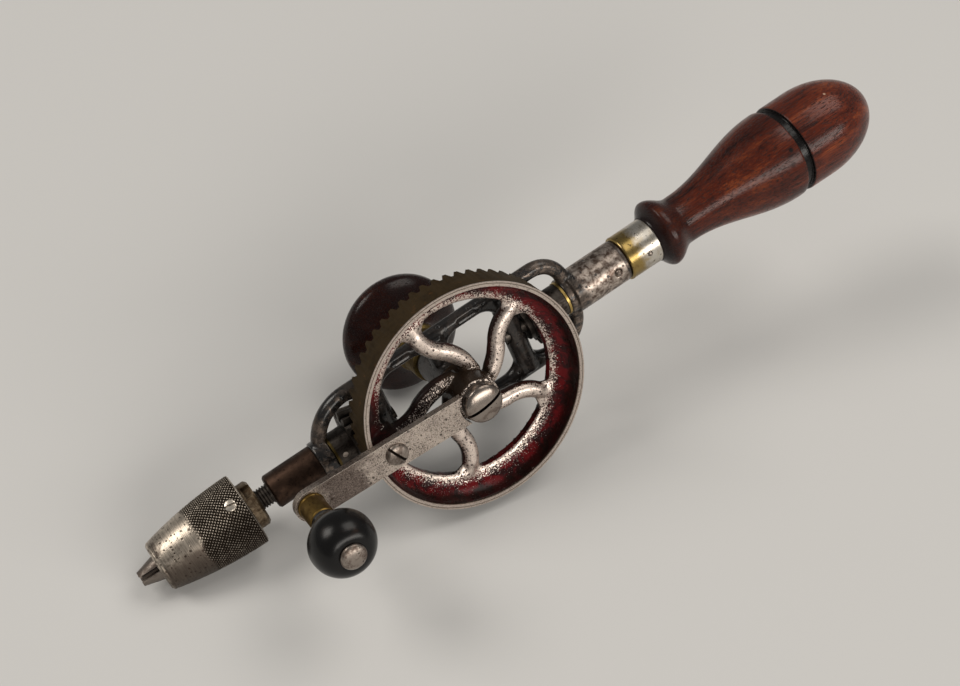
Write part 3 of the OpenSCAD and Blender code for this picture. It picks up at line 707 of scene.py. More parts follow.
def japan_finish(colours):
    """Black lacquer on the cast frame, worn to brown iron, with a bare pitted socket; kept black behind the
    wheel as painted shade, and bared on the faces along the axle partly as a painted highlight.
    """
    finish = Finish("japan")
    along, across, _ = finish.apart(finish.place)
    # Painted shade: behind the wheel, within its radius, the frame keeps its black with little brown or bare
    # iron.
    outside = finish.span(finish.radius(along, across), 40.0, 50.0)
    socket_start = reach("idler_washer")[1].x / MM + 6.5
    socket_end = reach("frame")[1].x / MM
    socket = finish.span(finish.plus(along, finish.drift(0.18, 9.0)), socket_start, socket_start + 3.0)
    socket = finish.times(socket, finish.span(along, socket_end - 1.6, socket_end - 2.4))
    edges = finish.wear(0.515, 0.075, 0.22)[0]
    browned = finish.times(finish.mottle(0.11, 0.42, 0.60), finish.blend(outside, 0.2, 1.0))
    bare = finish.times(finish.mottle(0.26, 0.52, 0.66), browned)
    bare = finish.most(bare, finish.times(edges, finish.blend(outside, 0.15, 0.7)))
    # Bare iron on the faces that look along the axle: rubbed wear, and a painted highlight on that side of
    # the limbs.
    crest = finish.times(finish.span(finish.facing(AXLE), 0.6, 0.95), finish.mottle(0.35, 0.46, 0.62))
    crest = finish.times(crest, finish.blend(outside, 0.15, 0.9))
    bare = finish.most(finish.times(bare, 0.6), crest)
    pits, height = finish.pits(0.75, 0.46)
    brown = finish.mix(finish.cloud(0.3, 4.0, 0.6), scaled(colours.iron, 0.45), scaled(colours.iron, 0.2))
    steel = finish.mix(finish.mottle(0.4, 0.34, 0.64), scaled(colours.steel, 0.85), colours.stain)
    shade = finish.paint(
        colours.japan,
        (browned, 0.85, brown),
        (bare, 0.75, scaled(colours.iron, 1.1)),
        (socket, 1.0, steel),
        (pits, 0.9, scaled(colours.japan, 0.6)),
    )
    bareness = finish.most(socket, finish.most(bare, finish.times(browned, 0.5)))
    metallic = finish.times(bareness, finish.less(1.0, pits))
    roughness = finish.blend(bareness, 0.22, 0.38)
    skin = finish.bump(finish.cloud(0.9, 4.0, 0.6), 0.00012, 0.5)
    normal = finish.bump(height, 0.0001, 0.9, skin)
    finish.set(shade, roughness, normal, metallic=metallic, specular_ior_level=0.4)


def wheel_finish(colours):
    """Red lacquer in the wheel's hollow, worn to speckled bare metal on the ring and the spokes, with a
    painted shadow of the arm and painted shade on the side towards the handle.
    """
    finish = Finish("red_japan")
    x, y, _ = finish.apart(finish.place)
    radius = finish.radius(x, y)
    rim = reach("drive_wheel")[1].y / MM
    out_arm = finish.along(finish.place, (math.cos(ARM_ANGLE), math.sin(ARM_ANGLE), 0.0))
    off_arm = finish.along(finish.place, (-math.sin(ARM_ANGLE), math.cos(ARM_ANGLE), 0.0))
    # Painted shadow of the crank arm: a band beside the arm where the wheel is kept dark red, with few bare
    # specks.
    painted_arm_shadow = finish.times(finish.span(off_arm, -24.0, -15.0), finish.span(off_arm, 11.0, 7.0))
    painted_arm_shadow = finish.times(painted_arm_shadow, finish.span(out_arm, 6.0, 14.0))
    ring = finish.plus(radius, finish.drift(0.09, 3.5))
    painted = finish.span(ring, rim - 10.0, rim - 4.6)
    wall = finish.span(ring, rim - 4.4, rim - 2.8)
    spokes = finish.span(radius, rim - 10.2, rim - 11.4)
    hub = finish.span(radius, 15.0, 10.0)
    # Painted shade: the side towards the handle keeps more dark red and fewer bright bare specks.
    rear_shade = finish.span(x, 15.0, 42.0)
    front = finish.facing(AXLE)
    top = finish.span(front, 0.2, 0.7)
    back = finish.span(front, -0.1, -0.5)
    edges = finish.wear(0.50, 0.07, 0.3)[0]

    chance = finish.blend(painted, finish.blend(top, 0.10, finish.blend(spokes, 0.72, 0.84)), 0.20)
    chance = finish.plus(chance, finish.drift(0.35, 0.5))
    # The painted arm shadow and the painted rear shade hold back the bare specks.
    shifts = ((edges, 0.22), (hub, -0.4), (back, -0.4), (wall, -0.15), (painted_arm_shadow, -0.4), (rear_shade, -0.14))
    for mask, shift in shifts:
        chance = finish.plus(chance, finish.times(mask, shift))
    threshold = finish.less(0.76, finish.times(chance, 0.44))
    speck = finish.cloud(1.75, 3.0, 0.64)
    bare = finish.span(speck, finish.less(threshold, 0.025), finish.plus(threshold, 0.03))

    pits, height = finish.pits(1.15, 0.6)
    red = finish.paint(
        colours.red,
        (finish.mottle(0.17, 0.40, 0.58), 0.9, [0.012, 0.006, 0.006]),
        (wall, 0.85, [0.008, 0.004, 0.003]),
        (spokes, 0.8, [0.030, 0.017, 0.013]),
        (back, 0.8, colours.japan),
        # painted shadow of the arm, darkening the red
        (painted_arm_shadow, 0.75, [0.012, 0.008, 0.007]),
        (hub, 0.8, [0.030, 0.021, 0.013]),
    )
    metal = finish.paint(
        colours.bare,
        (finish.mottle(0.3, 0.50, 0.74), 1.0, scaled(colours.bare, 0.55)),
        (pits, 0.92, [0.03, 0.016, 0.014]),
    )
    shade = finish.mix(bare, red, metal)
    metallic = finish.times(bare, finish.less(0.92, finish.times(pits, 0.9)))
    roughness = finish.blend(bare, 0.24, 0.38)
    normal = finish.bump(finish.less(1.0, bare), 0.00005, 0.7, finish.bump(height, 0.0001, 0.8))
    finish.set(shade, roughness, normal, metallic=metallic, specular_ior_level=0.14)


def rim_finish(colours):
    """Dull tarnished tooth ring with a bright front edge, and a fine line turned in it."""
    finish = Finish("rim_steel")
    x, y, z = finish.apart(finish.place)
    rim = reach("drive_wheel")[1].y / MM
    front = rim_front() / MM
    edge = finish.span(z, front - 0.6, front - 0.25)
    off_line = finish.maths("ABSOLUTE", finish.less(finish.radius(x, y), rim - 0.75))
    line = finish.span(off_line, 0.26, 0.10)
    bright = finish.times(edge, finish.less(1.0, finish.times(line, 0.8)))
    fine = finish.cloud(2.2, 4.0, 0.65)
    shade = finish.paint(
        colours.rim,
        (finish.mottle(0.14, 0.40, 0.68), 1.0, scaled(colours.rim, 0.6)),
        (finish.mottle(0.22, 0.58, 0.72), 0.45, [0.15, 0.065, 0.022]),
        (bright, 0.9, scaled(colours.bare, 0.74)),
        (finish.span(fine, 0.51, 0.66), 0.75, [0.03, 0.022, 0.015]),
    )
    metallic = finish.blend(bright, 0.08, 0.95)
    roughness = finish.blend(bright, 0.62, 0.32)
    normal = finish.bump(fine, 0.00004, 0.5)
    finish.set(shade, roughness, normal, metallic=metallic, specular_ior_level=0.04)


def arm_finish(colours):
    """Bright speckled steel of the crank arm, stained brown towards the knob, with the front face's edges
    painted bright: worn steel, and a painted highlight.
    """
    finish = Finish("arm_steel")
    x, y, _ = finish.apart(finish.place)
    outward = finish.plus(finish.radius(x, y), finish.drift(0.2, 24.0))
    fine = finish.cloud(2.4, 4.0, 0.65)
    stain = finish.times(finish.span(outward, 46.0, 56.0), finish.span(outward, 76.0, 68.0))
    stain = finish.times(stain, finish.blend(finish.span(fine, 0.42, 0.60), 1.0, 0.7))
    specks = finish.span(finish.plus(finish.cloud(3.4, 3.0, 0.7), finish.drift(0.14, 0.2)), 0.50, 0.575)
    pits = finish.most(finish.pits(2.0, 0.6)[0], finish.pits(0.7, 0.38)[0])
    marks = finish.most(pits, finish.times(specks, 0.8))
    front = finish.facing(AXLE)
    # The front face's eased edges: worn bright steel, and a painted highlight along them.
    edge = finish.times(finish.span(front, 0.98, 0.94), finish.span(front, 0.5, 0.8))
    shade = finish.paint(
        finish.mix(fine, scaled(colours.steel, 0.74), colours.steel),
        (stain, 0.88, [0.062, 0.040, 0.033]),
        (finish.span(front, 0.7, 0.2), 0.3, [0.085, 0.062, 0.048]),
        (marks, 0.88, [0.040, 0.028, 0.024]),
        (edge, 0.8, [0.72, 0.64, 0.56]),
    )
    roughness = finish.blend(stain, finish.blend(fine, 0.30, 0.44), 0.48)
    normal = finish.bump(finish.less(1.0, marks), 0.00007, 0.8)
    finish.set(shade, roughness, normal, metallic=0.95)


def shell_finish(colours, knurl_start):
    """Nickel of the chuck's shell, bright on the nose, brown between the knurls and along its lower side,
    partly stain and partly painted shade.
    """
    finish = Finish("worn_nickel")
    groove = finish.node("ShaderNodeAttribute", attribute_name="groove").outputs["Fac"]
    along, across, up = finish.apart(finish.place)
    knurled = finish.span(along, knurl_start / MM - 0.5, knurl_start / MM + 1.5)
    turned = finish.noise(finish.stretch(finish.place, (2.4, 0.12, 0.12)), 1.6, 3.0, 0.6)
    # The lower side is browned: stain, and painted shade.
    side = finish.plus(finish.less(up, across), finish.drift(0.2, 9.0))
    stain = finish.most(finish.mottle(0.11, 0.46, 0.70), finish.span(side, 1.0, 9.0))
    pits, height = finish.pits(1.2, 0.55)
    edges = finish.wear(0.53, 0.06, 0.5)[0]
    shade = finish.paint(
        finish.mix(finish.span(turned, 0.35, 0.65), scaled(colours.nickel, 0.58), colours.nickel),
        (knurled, 0.25, scaled(colours.nickel, 0.45)),
        (stain, 0.88, scaled(colours.stain, 0.36)),
        (finish.span(groove, 0.08, 0.55), 1.0, [0.012, 0.008, 0.005]),
        (pits, 0.85, [0.035, 0.024, 0.018]),
        (edges, 0.3, [0.74, 0.66, 0.56]),
    )
    roughness = finish.blend(groove, finish.blend(stain, 0.37, 0.48), 0.6)
    normal = finish.bump(height, 0.00006, 0.8, finish.bump(turned, 0.00002, 0.5))
    finish.set(shade, roughness, normal, metallic=0.95)


def ferrule_finish(colours):
    """Nickel over brass, rubbed through to the brass along one edge."""
    finish = Finish("ferrule_brass")
    along = finish.apart(finish.place)[0]
    middle = middle_of("ferrule").x / MM
    rubbed = finish.span(finish.plus(along, finish.drift(0.25, 12.0)), middle + 2.0, middle - 3.5)
    pits, height = finish.pits(0.9, 0.36)
    edges = finish.wear(0.53, 0.05, 0.5)[0]
    turned = finish.noise(finish.stretch(finish.place, (2.0, 0.2, 0.2)), 1.5, 3.0, 0.6)
    shade = finish.paint(
        finish.mix(rubbed, [0.58, 0.54, 0.48], scaled(colours.brass, 0.62)),
        (finish.mottle(0.25, 0.48, 0.72), 0.6, [0.15, 0.095, 0.04]),
        (pits, 0.8, [0.05, 0.035, 0.02]),
        (edges, 0.4, [0.74, 0.66, 0.50]),
    )
    roughness = finish.blend(turned, 0.22, 0.36)
    finish.set(shade, roughness, finish.bump(height, 0.00005, 0.7), metallic=1.0)


def wood_finish(name, dark, body, light, shift=0.0, axis="X", black_before=None, marks=()):
    """Polished rosewood, streaked along the piece's own axis, black before a place on it, and marked."""
    finish = Finish(name)
    place = finish.place
    if axis == "Z":
        upright = {"Vector": place, "Rotation": (0.0, math.pi / 2, 0.0)}
        place = finish.node("ShaderNodeMapping", upright).outputs[0]
    moved = finish.node("ShaderNodeMapping", {"Vector": place, "Location": (shift, 0.0, shift)}).outputs[0]
    tone, pores, sheen = finish.effect("wood grain", vector=moved)
    hollows = finish.wear(0.52, 0.06, 0.3)[1]
    shade = finish.paint(
        dark,
        (finish.span(tone, 0.38, 0.53), 1.0, body),
        (finish.span(tone, 0.51, 0.66), 1.0, light),
        (pores, 0.85, scaled(dark, 0.35)),
        (hollows, 0.85, [0.006, 0.004, 0.003]),
    )
    for spot, width, tint in marks:
        shade = finish.mix(finish.mark(spot, width), shade, tint)
    if black_before is not None:
        before = finish.span(finish.apart(finish.place)[0], black_before + 0.4, black_before)
        shade = finish.mix(before, shade, [0.006, 0.005, 0.005])
    rubbed = finish.cloud(0.15, 3.0, 0.6)
    roughness = finish.blend(pores, finish.blend(rubbed, 0.17, 0.26), 0.5)
    normal = finish.bump(sheen, 0.00006, 0.5, finish.bump(finish.less(1.0, pores), 0.00012, 0.8))
    finish.set(shade, roughness, normal, specular_ior_level=0.20, coat_weight=0.05, coat_roughness=0.10)


def lacquer_finish(colours):
    """Glossy black knob, a little rubbed to brown."""
    finish = Finish("black_lacquer")
    fine = finish.cloud(1.1, 4.0, 0.6)
    shade = finish.paint(colours.lacquer, (finish.mottle(0.16, 0.55, 0.8), 0.7, [0.030, 0.016, 0.011]))
    roughness = finish.blend(fine, 0.22, 0.30)
    normal = finish.bump(fine, 0.00005, 0.3)
    finish.set(shade, roughness, normal, specular_ior_level=0.26)


def make_metals(colours):
    """The plain metals: clean and dirty colour, roughness, stain, pitting and a screw's slot."""
    steel, stain, brass = colours.steel, colours.stain, colours.brass
    shell_slot = slot_of("chuck_screw", SHELL_SLOT, across_shell())
    hub_slot = slot_of("hub_screw", HUB_SLOT)
    arm_slot = slot_of("crank_screw", ARM_SLOT)
    usual = (0.10, 0.46, 0.66)
    metals = {
        "collar_nickel": ([0.22, 0.17, 0.115], [0.06, 0.036, 0.02], 0.38, (0.2, 0.40, 0.60)),
        "bronze": (colours.bronze, [0.022, 0.014, 0.011], 0.46, (0.12, 0.44, 0.64)),
        # Painted shade: the gears, studs, shafts and tang get steel made nearly black.
        "steel": (scaled(steel, 0.13), scaled(stain, 0.2), 0.42, (0.16, 0.40, 0.62)),
        # The spindle's steel is made nearly black.
        "dark_steel": (scaled(steel, 0.10), scaled(stain, 0.15), 0.42),
        "dull_steel": (scaled(steel, 0.34), scaled(stain, 0.6), 0.40),
        "pin_steel": (scaled(steel, 0.5), stain, 0.36, (0.4, 0.45, 0.65)),
        "chuck_screw_steel": ([0.78, 0.70, 0.60], stain, 0.34, (0.4, 0.55, 0.75), 0.2, shell_slot),
        "screw_steel": (scaled(steel, 0.52), stain, 0.28, (0.16, 0.48, 0.70), 0.28, hub_slot),
        "arm_screw_steel": (scaled(steel, 0.62), scaled(stain, 0.6), 0.3, usual, 0.34, arm_slot),
        "washer_steel": (scaled(steel, 0.3), [0.035, 0.022, 0.015], 0.46),
        "washer_brass": (scaled(brass, 0.8), [0.13, 0.08, 0.03], 0.40),
        "dark_brass": (scaled(brass, 0.2), [0.03, 0.02, 0.01], 0.44),
        "side_brass": (scaled(brass, 0.3), [0.05, 0.034, 0.016], 0.46),
        # The crank collar's brass is darkened: painted shade.
        "collar_brass": ([0.20, 0.125, 0.034], [0.06, 0.034, 0.010], 0.40, (0.15, 0.40, 0.7)),
    }
    for name, values in metals.items():
        metal_finish(name, *values)


def make_woods(colours, turning):
    """The rosewood of the handle, of its cap and of the side knob."""
    dark, body, light = colours.wood_dark, colours.wood, colours.wood_light
    bead = (reach("ferrule")[1].x / MM + 3.0, 0.0, 0.0)
    handle_marks = [(DENT, 2.6, [0.010, 0.007, 0.007]), (bead, 42.0, [0.010, 0.005, 0.005])]
    wood_finish("rosewood", dark, body, light, marks=handle_marks)
    cap_foot = (reach("main_handle")[1].x + turning.groove) / MM
    cap = [scaled(shade, 1.3) for shade in (dark, body, light)]
    wood_finish("cap_rosewood", *cap, 70.0, black_before=cap_foot, marks=[(CHIP, 1.5, [0.40, 0.26, 0.18])])
    wood_finish("dark_rosewood", scaled(dark, 0.5), scaled(body, 0.2), scaled(light, 0.22), 40.0, "Z")


def make_finishes(scene):
    """The shared effects, and then every finish of the drill by its name."""
    for make_effect in (make_mottle, make_pits, make_edge_wear, make_grain):
        make_effect()
    colours = scene.drill_colours
    for make_finish in (japan_finish, wheel_finish, rim_finish, arm_finish, ferrule_finish, lacquer_finish):
        make_finish(colours)
    shell_finish(colours, reach("chuck_shell")[0].x + scene.drill_chuck.knurl_start)
    make_metals(colours)
    make_woods(colours, scene.drill_turning)


# Pieces

class HANDDRILL_OT_cast_frame(Operator):
    """Casts the frame with soft inner corners"""

    bl_idname = "hand_drill.cast_frame"
    bl_label = "Cast the frame"

    def execute(self, context):
        sizes = context.scene.drill_castings
        piece = copy_of("frame", "frame_casting")
        self.add_webs(piece, sizes)
        recast(piece, sizes.grain, sizes.soften)
        dress(piece, "japan", "japan", "frame", "frame", angle=math.pi)
        return {"FINISHED"}

    def add_webs(self, piece, sizes):
        """Rounds the corners between the limbs and the bars with quarters of a ring."""
        limb = reach("frame")[1].y - sizes.limb / 2
        cross = reach("idler_shaft")[0].x + sizes.bar / 2
        quarter = self.quarter_ring(sizes.web, sizes.limb / 2)
        webs = []
        for bar in (-cross, 0.0, cross):
            for side in (1, -1):
                for up in (1, -1):
                    web = twin(quarter)
                    spot = Matrix.Translation((bar + side * sizes.web, up * (limb - sizes.web), 0))
                    web.data.transform(spot @ Matrix.Diagonal((-side, up, 1, 1)))
                    webs.append(web)
        bpy.data.objects.remove(quarter)
        unite(piece, webs)

    def quarter_ring(self, radius, thickness):
        """The quarter of a ring that lies between +X and +Y."""
        bpy.ops.object.select_all(action="DESELECT")
        bpy.ops.mesh.primitive_torus_add(
            major_radius=radius, minor_radius=thickness, major_segments=64, minor_segments=24
        )
        ring = bpy.context.object
        for way in ((1, 0, 0), (0, 1, 0)):
            edit_all(ring)
            bpy.ops.mesh.bisect(plane_co=(0, 0, 0), plane_no=way, use_fill=True, clear_inner=True)
            bpy.ops.object.mode_set(mode="OBJECT")
        return ring


class HANDDRILL_OT_cast_wheel(Operator):
    """Casts the wheel's ring, spokes and hub, and cuts its toothed rim"""

    bl_idname = "hand_drill.cast_wheel"
    bl_label = "Cast the wheel"

    def execute(self, context):
        sizes = context.scene.drill_castings
        steps = context.scene.drill_turning.steps
        rim = reach("drive_wheel")[1].y
        front = rim_front()
        band = rim - RIM_BAND
        window = rim - WINDOW_BAND
        seam = rim - sizes.rim_wall
        land = front - sizes.rim_depth
        tooth_top = front - sizes.spoke_drop
        clear = 20.0 * MM
        behind, ahead = -clear, front + clear
        outline = [(tooth_top, window), (behind, window), (behind, rim + clear), (ahead, rim + clear),
                   (ahead, band), (land, band), (land, seam), (tooth_top, seam)]
        ring = turn("rim_tool", outline, "Z", steps, closed=True)
        rim_piece = copy_of("drive_wheel", "wheel_rim")
        combine(rim_piece, ring, "INTERSECT")
        join_flats(rim_piece)
        ease_edges(rim_piece, 0.5 * sizes.edge)
        dress(rim_piece, "rim_steel", "red_japan", "crank", "drive_wheel")

        lap = 0.35 * MM
        step = tooth_top - lap
        outline = [(behind, 0), (behind, window + lap), (step, window + lap), (step, seam + lap),
                   (land, seam + lap), (land, band), (ahead, band), (ahead, 0)]
        inside = turn("casting_tool", outline, "Z", steps)
        casting = copy_of("drive_wheel", "wheel_casting")
        combine(casting, inside, "INTERSECT")
        self.fatten_spokes(casting, sizes, window)
        self.add_flares(casting, sizes, window, tooth_top)
        recast(casting, sizes.grain, sizes.wheel_soften)
        dress(casting, "red_japan", "red_japan", "crank", "drive_wheel", angle=math.pi)
        return {"FINISHED"}

    def fatten_spokes(self, casting, sizes, ring):
        """Gives the spokes the stock that easing their corners takes off again."""
        ends = ring - 2.0 * MM
        take(casting)
        bpy.ops.object.mode_set(mode="EDIT")
        bpy.ops.mesh.select_mode(type="VERT")
        bpy.ops.mesh.select_all(action="DESELECT")
        bpy.ops.object.mode_set(mode="OBJECT")
        for corner in casting.data.vertices:
            corner.select = HUB_RADIUS < corner.co.xy.length < ends
        bpy.ops.object.mode_set(mode="EDIT")
        bpy.ops.transform.shrink_fatten(value=sizes.spoke_stock)
        bpy.ops.object.mode_set(mode="OBJECT")

    def add_flares(self, casting, sizes, ring, height):
        """Spreads the spokes where they run into the ring."""
        steps = 10
        thin = sizes.spoke / 2
        spread = sizes.flare_width / 2 - thin
        along = [sizes.flare * i / steps for i in range(steps + 1)]
        outline = dome((0.0, sizes.flare_width / 2), (-sizes.flare_sink, 0.0), steps)[:0:-1]
        outline += [(step, thin + spread * (1 - step / sizes.flare) ** 2) for step in along]
        outline.append((sizes.flare, 0.0))
        first = turn("spoke_flare", outline, "X", 32)
        flatten = Matrix.Diagonal((1, 1, FLARE_HEIGHT / sizes.flare_width, 1))
        flares = []
        for number in range(SPOKES):
            place = FIRST_SPOKE + number * math.tau / SPOKES
            spot = Matrix.Translation((ring * math.cos(place), ring * math.sin(place), height + FLARE_LIFT))
            flare = twin(first)
            flare.data.transform(spot @ Matrix.Rotation(place + math.pi - SPOKE_LEAN, 4, "Z") @ flatten)
            flares.append(flare)
        bpy.data.objects.remove(first)
        unite(casting, flares)


class HANDDRILL_OT_forge_crank(Operator):
    """Forges the crank arm and turns its screws, pin, collar and knob"""

    bl_idname = "hand_drill.forge_crank"
    bl_label = "Forge the crank"

    def execute(self, context):
        turning = context.scene.drill_turning
        arm = eased_copy("crank_arm", "crank_arm_forged", 1.6 * context.scene.drill_castings.edge)
        dress(arm, "arm_steel", "arm_steel", "crank", "crank_arm")
        self.turn_hub_screw(turning)
        self.turn_arm_screw(turning)
        spot = Matrix.Translation((GRIP_SPOT.x, GRIP_SPOT.y, 0))
        self.turn_collar(turning, spot)
        self.turn_knob(turning, spot)
        self.turn_pin(turning, spot)
        return {"FINISHED"}

    def turn_hub_screw(self, turning):
        """Big domed screw on the axle, with a wide slot."""
        high = reach("hub_screw")[1]
        foot = reach("hub_washer")[1].z
        head = high.x
        chamfer = 0.3 * MM
        side = 2.2 * MM
        outline = [(foot, 0), (foot, head - chamfer), (foot + chamfer, head)]
        outline += dome((foot + side, head), (high.z, 0.0), 18)
        screw = turn("hub_screw_turned", outline, "Z", turning.steps)
        cut_slot(screw, high.z, HUB_SLOT, turning.hub_slot, 3 * head)
        ease_edges(screw, 0.25 * MM)
        dress(screw, "screw_steel", "screw_steel", "frame", "hub_screw")

    def turn_arm_screw(self, turning):
        """Slotted screw that holds the arm to the wheel."""
        low, high = reach("crank_screw")
        foot = reach("crank_arm")[1].z
        middle = (low + high) / 2
        head = (high.x - low.x) / 2
        outline = [(foot, 0), (foot, head)] + dome((foot + 0.6 * MM, head), (high.z, 0.0), 14)
        screw = turn("crank_screw_turned", outline, "Z", turning.steps)
        cut_slot(screw, high.z, ARM_SLOT, turning.arm_slot, 4 * head)
        ease_edges(screw, 0.2 * MM)
        screw.data.transform(Matrix.Translation((middle.x, middle.y, 0)))
        dress(screw, "arm_screw_steel", "screw_steel", "crank", "crank_screw")

    def turn_collar(self, turning, spot):
        """Brass collar under the knob, with a rim at its foot."""
        low, high = reach("crank_collar")
        rim = (high.x - low.x) / 2
        neck = rim - 0.25 * MM
        outline = [(low.z, CRANK_PIN), (low.z, rim), (low.z + 1.4 * MM, rim), (low.z + 1.8 * MM, neck),
                   (low.z + 2.2 * MM, neck), (high.z - 0.6 * MM, rim - 0.2 * MM), (high.z, rim - 0.7 * MM),
                   (high.z, CRANK_PIN)]
        collar = turn("crank_collar_turned", outline, "Z", turning.steps, closed=True)
        ease_edges(collar, 0.12 * MM)
        collar.data.transform(spot)
        dress(collar, "collar_brass", "collar_brass", "crank", "crank_collar")

    def turn_knob(self, turning, spot):
        """Black knob, widest past its middle."""
        low, high = reach("crank_knob")
        widest = (high.x - low.x) / 2
        belly = low.z + 0.6 * (high.z - low.z)
        bore = CRANK_PIN + RUNNING_FIT
        neck = 5.3 * MM
        crown = 5.4 * MM
        outline = [(low.z, bore)] + ease((low.z, neck), (belly, widest), 26)
        outline += dome((belly + 0.5 * MM, widest), (high.z, crown), 26) + [(high.z, bore)]
        knob = turn("crank_knob_turned", outline, "Z", turning.steps, closed=True)
        ease_edges(knob, 0.3 * MM, 3)
        knob.data.transform(spot)
        dress(knob, "black_lacquer", "black_lacquer", "crank_grip", "crank_knob")

    def turn_pin(self, turning, spot):
        """Pin that the knob spins on, with a domed head."""
        start = reach("crank_arm")[0].z
        foot = reach("crank_knob")[1].z + 0.2 * MM
        top = reach("crank_pin")[1].z
        head = 5.1 * MM
        outline = [(start, 0), (start, CRANK_PIN), (foot, CRANK_PIN), (foot, head)]
        outline += dome((foot + 0.5 * MM, head), (top, 0.0), 16)
        pin = turn("crank_pin_turned", outline, "Z", turning.steps)
        ease_edges(pin, 0.15 * MM)
        pin.data.transform(spot)
        dress(pin, "pin_steel", "pin_steel", "crank", "crank_pin")


class HANDDRILL_OT_turn_handles(Operator):
    """Turns the main handle, its cap and ferrule, and the side knob with its ferrule"""

    bl_idname = "hand_drill.turn_handles"
    bl_label = "Turn the handles"

    def execute(self, context):
        turning = context.scene.drill_turning
        self.turn_ferrule(turning)
        self.turn_main_handle(turning)
        self.turn_cap(turning)
        self.turn_side_ferrule(turning)
        self.turn_side_knob(turning)
        return {"FINISHED"}

    def turn_ferrule(self, turning):
        """Thin metal band with a rolled front edge."""
        low, high = reach("ferrule")
        radius = high.y
        inside = radius - FERRULE_WALL
        roll = radius - 0.7 * MM
        outline = [(low.x, inside), (low.x, roll)]
        outline += dome((low.x + 0.9 * MM, radius), (low.x, roll), 6)[::-1]
        outline += [(low.x + 1.6 * MM, radius - 0.1 * MM), (high.x - 0.3 * MM, radius),
                    (high.x, radius - 0.2 * MM), (high.x, inside)]
        band = turn("ferrule_band", outline, "X", turning.steps, closed=True)
        dress(band, "ferrule_brass", "ferrule_brass", "frame", "ferrule")

    def turn_main_handle(self, turning):
        """Rosewood handle with a bead, a neck and a long swell, hollow at its end."""
        low, high = reach("main_handle")
        ferrule = reach("ferrule")[1]
        start = ferrule.x + 0.02 * MM
        tenon = ferrule.y - FERRULE_WALL
        widest = high.y
        bead_top = ferrule.x + turning.bead_length
        neck = bead_top + turning.neck_length
        floor = high.x - turning.store_length
        outline = [(low.x, 0), (low.x, tenon), (start, tenon)]
        outline += ease((start, tenon + 1.8 * MM), (bead_top, turning.bead / 2), 14)
        outline += ease((bead_top + 0.4 * MM, turning.bead / 2), (neck, turning.neck / 2), 22)
        outline += ease((neck + 2.0 * MM, turning.neck / 2), (high.x - 2.0 * MM, widest), 44)
        outline += [(high.x - 0.6 * MM, widest - 0.05 * MM), (high.x, widest - 0.6 * MM)]
        outline += [(high.x, turning.store / 2), (floor, turning.store / 2), (floor, 0)]
        handle = turn("main_handle_turned", outline, "X", turning.steps)
        ease_edges(handle, turning.edge)
        dress(handle, "rosewood", "rosewood", "frame", "main_handle")

    def turn_cap(self, turning):
        """Domed cap with a groove at its foot and a hollow spigot."""
        low, high = reach("handle_cap")
        mouth = reach("main_handle")[1].x
        widest = high.y
        spigot = turning.store / 2 - RUNNING_FIT
        bore = turning.store / 2 - turning.spigot_wall
        foot = mouth + turning.groove
        floor = foot + 0.45 * (high.x - mouth)
        groove = widest - turning.groove_depth
        chamfer = 1.0 * MM
        outline = [(low.x, bore), (low.x, spigot - chamfer), (low.x + chamfer, spigot), (mouth, spigot)]
        outline += [(mouth, groove), (foot, groove)]
        outline += [(foot, widest - 0.5 * MM), (foot + 0.5 * MM, widest - 0.1 * MM)]
        outline += dome((foot + turning.cap_flat, widest), (high.x, 0.0), 48)
        outline += [(floor, 0), (floor, bore)]
        cap = turn("handle_cap_turned", outline, "X", turning.steps, closed=True)
        ease_edges(cap, turning.edge)
        dress(cap, "cap_rosewood", "rosewood", "handle_cap", "handle_cap")

    def turn_side_ferrule(self, turning):
        """Ferrule of the side knob, wider at its foot."""
        low, high = reach("side_ferrule")
        rim = high.x
        tube = rim - 1.2 * MM
        bore = 4.0 * MM
        chamfer = 0.8 * MM
        outline = [(low.z, bore), (low.z, rim), (low.z + 2.0 * MM, rim)]
        outline += ease((low.z + 2.0 * MM, rim), (low.z + 4.0 * MM, tube), 8)
        outline += [(high.z - chamfer, tube), (high.z, tube - chamfer), (high.z, bore)]
        band = turn("side_ferrule_turned", outline, "Z", turning.steps, closed=True)
        ease_edges(band, 0.25 * MM)
        dress(band, "side_brass", "side_brass", "frame", "side_ferrule")

    def turn_side_knob(self, turning):
        """Dark side knob."""
        low, high = reach("side_knob")
        rim = reach("side_ferrule")[1].x
        widest = high.x
        belly = high.z - 0.55 * (high.z - low.z)
        outline = [(high.z, 0)] + ease((high.z, rim), (belly, widest), 28)
        outline += dome((belly - 1.0 * MM, widest), (low.z, 0.0), 32)
        knob = turn("side_knob_turned", outline, "Z", turning.steps)
        ease_edges(knob, turning.edge)
        dress(knob, "dark_rosewood", "dark_rosewood", "frame", "side_knob")


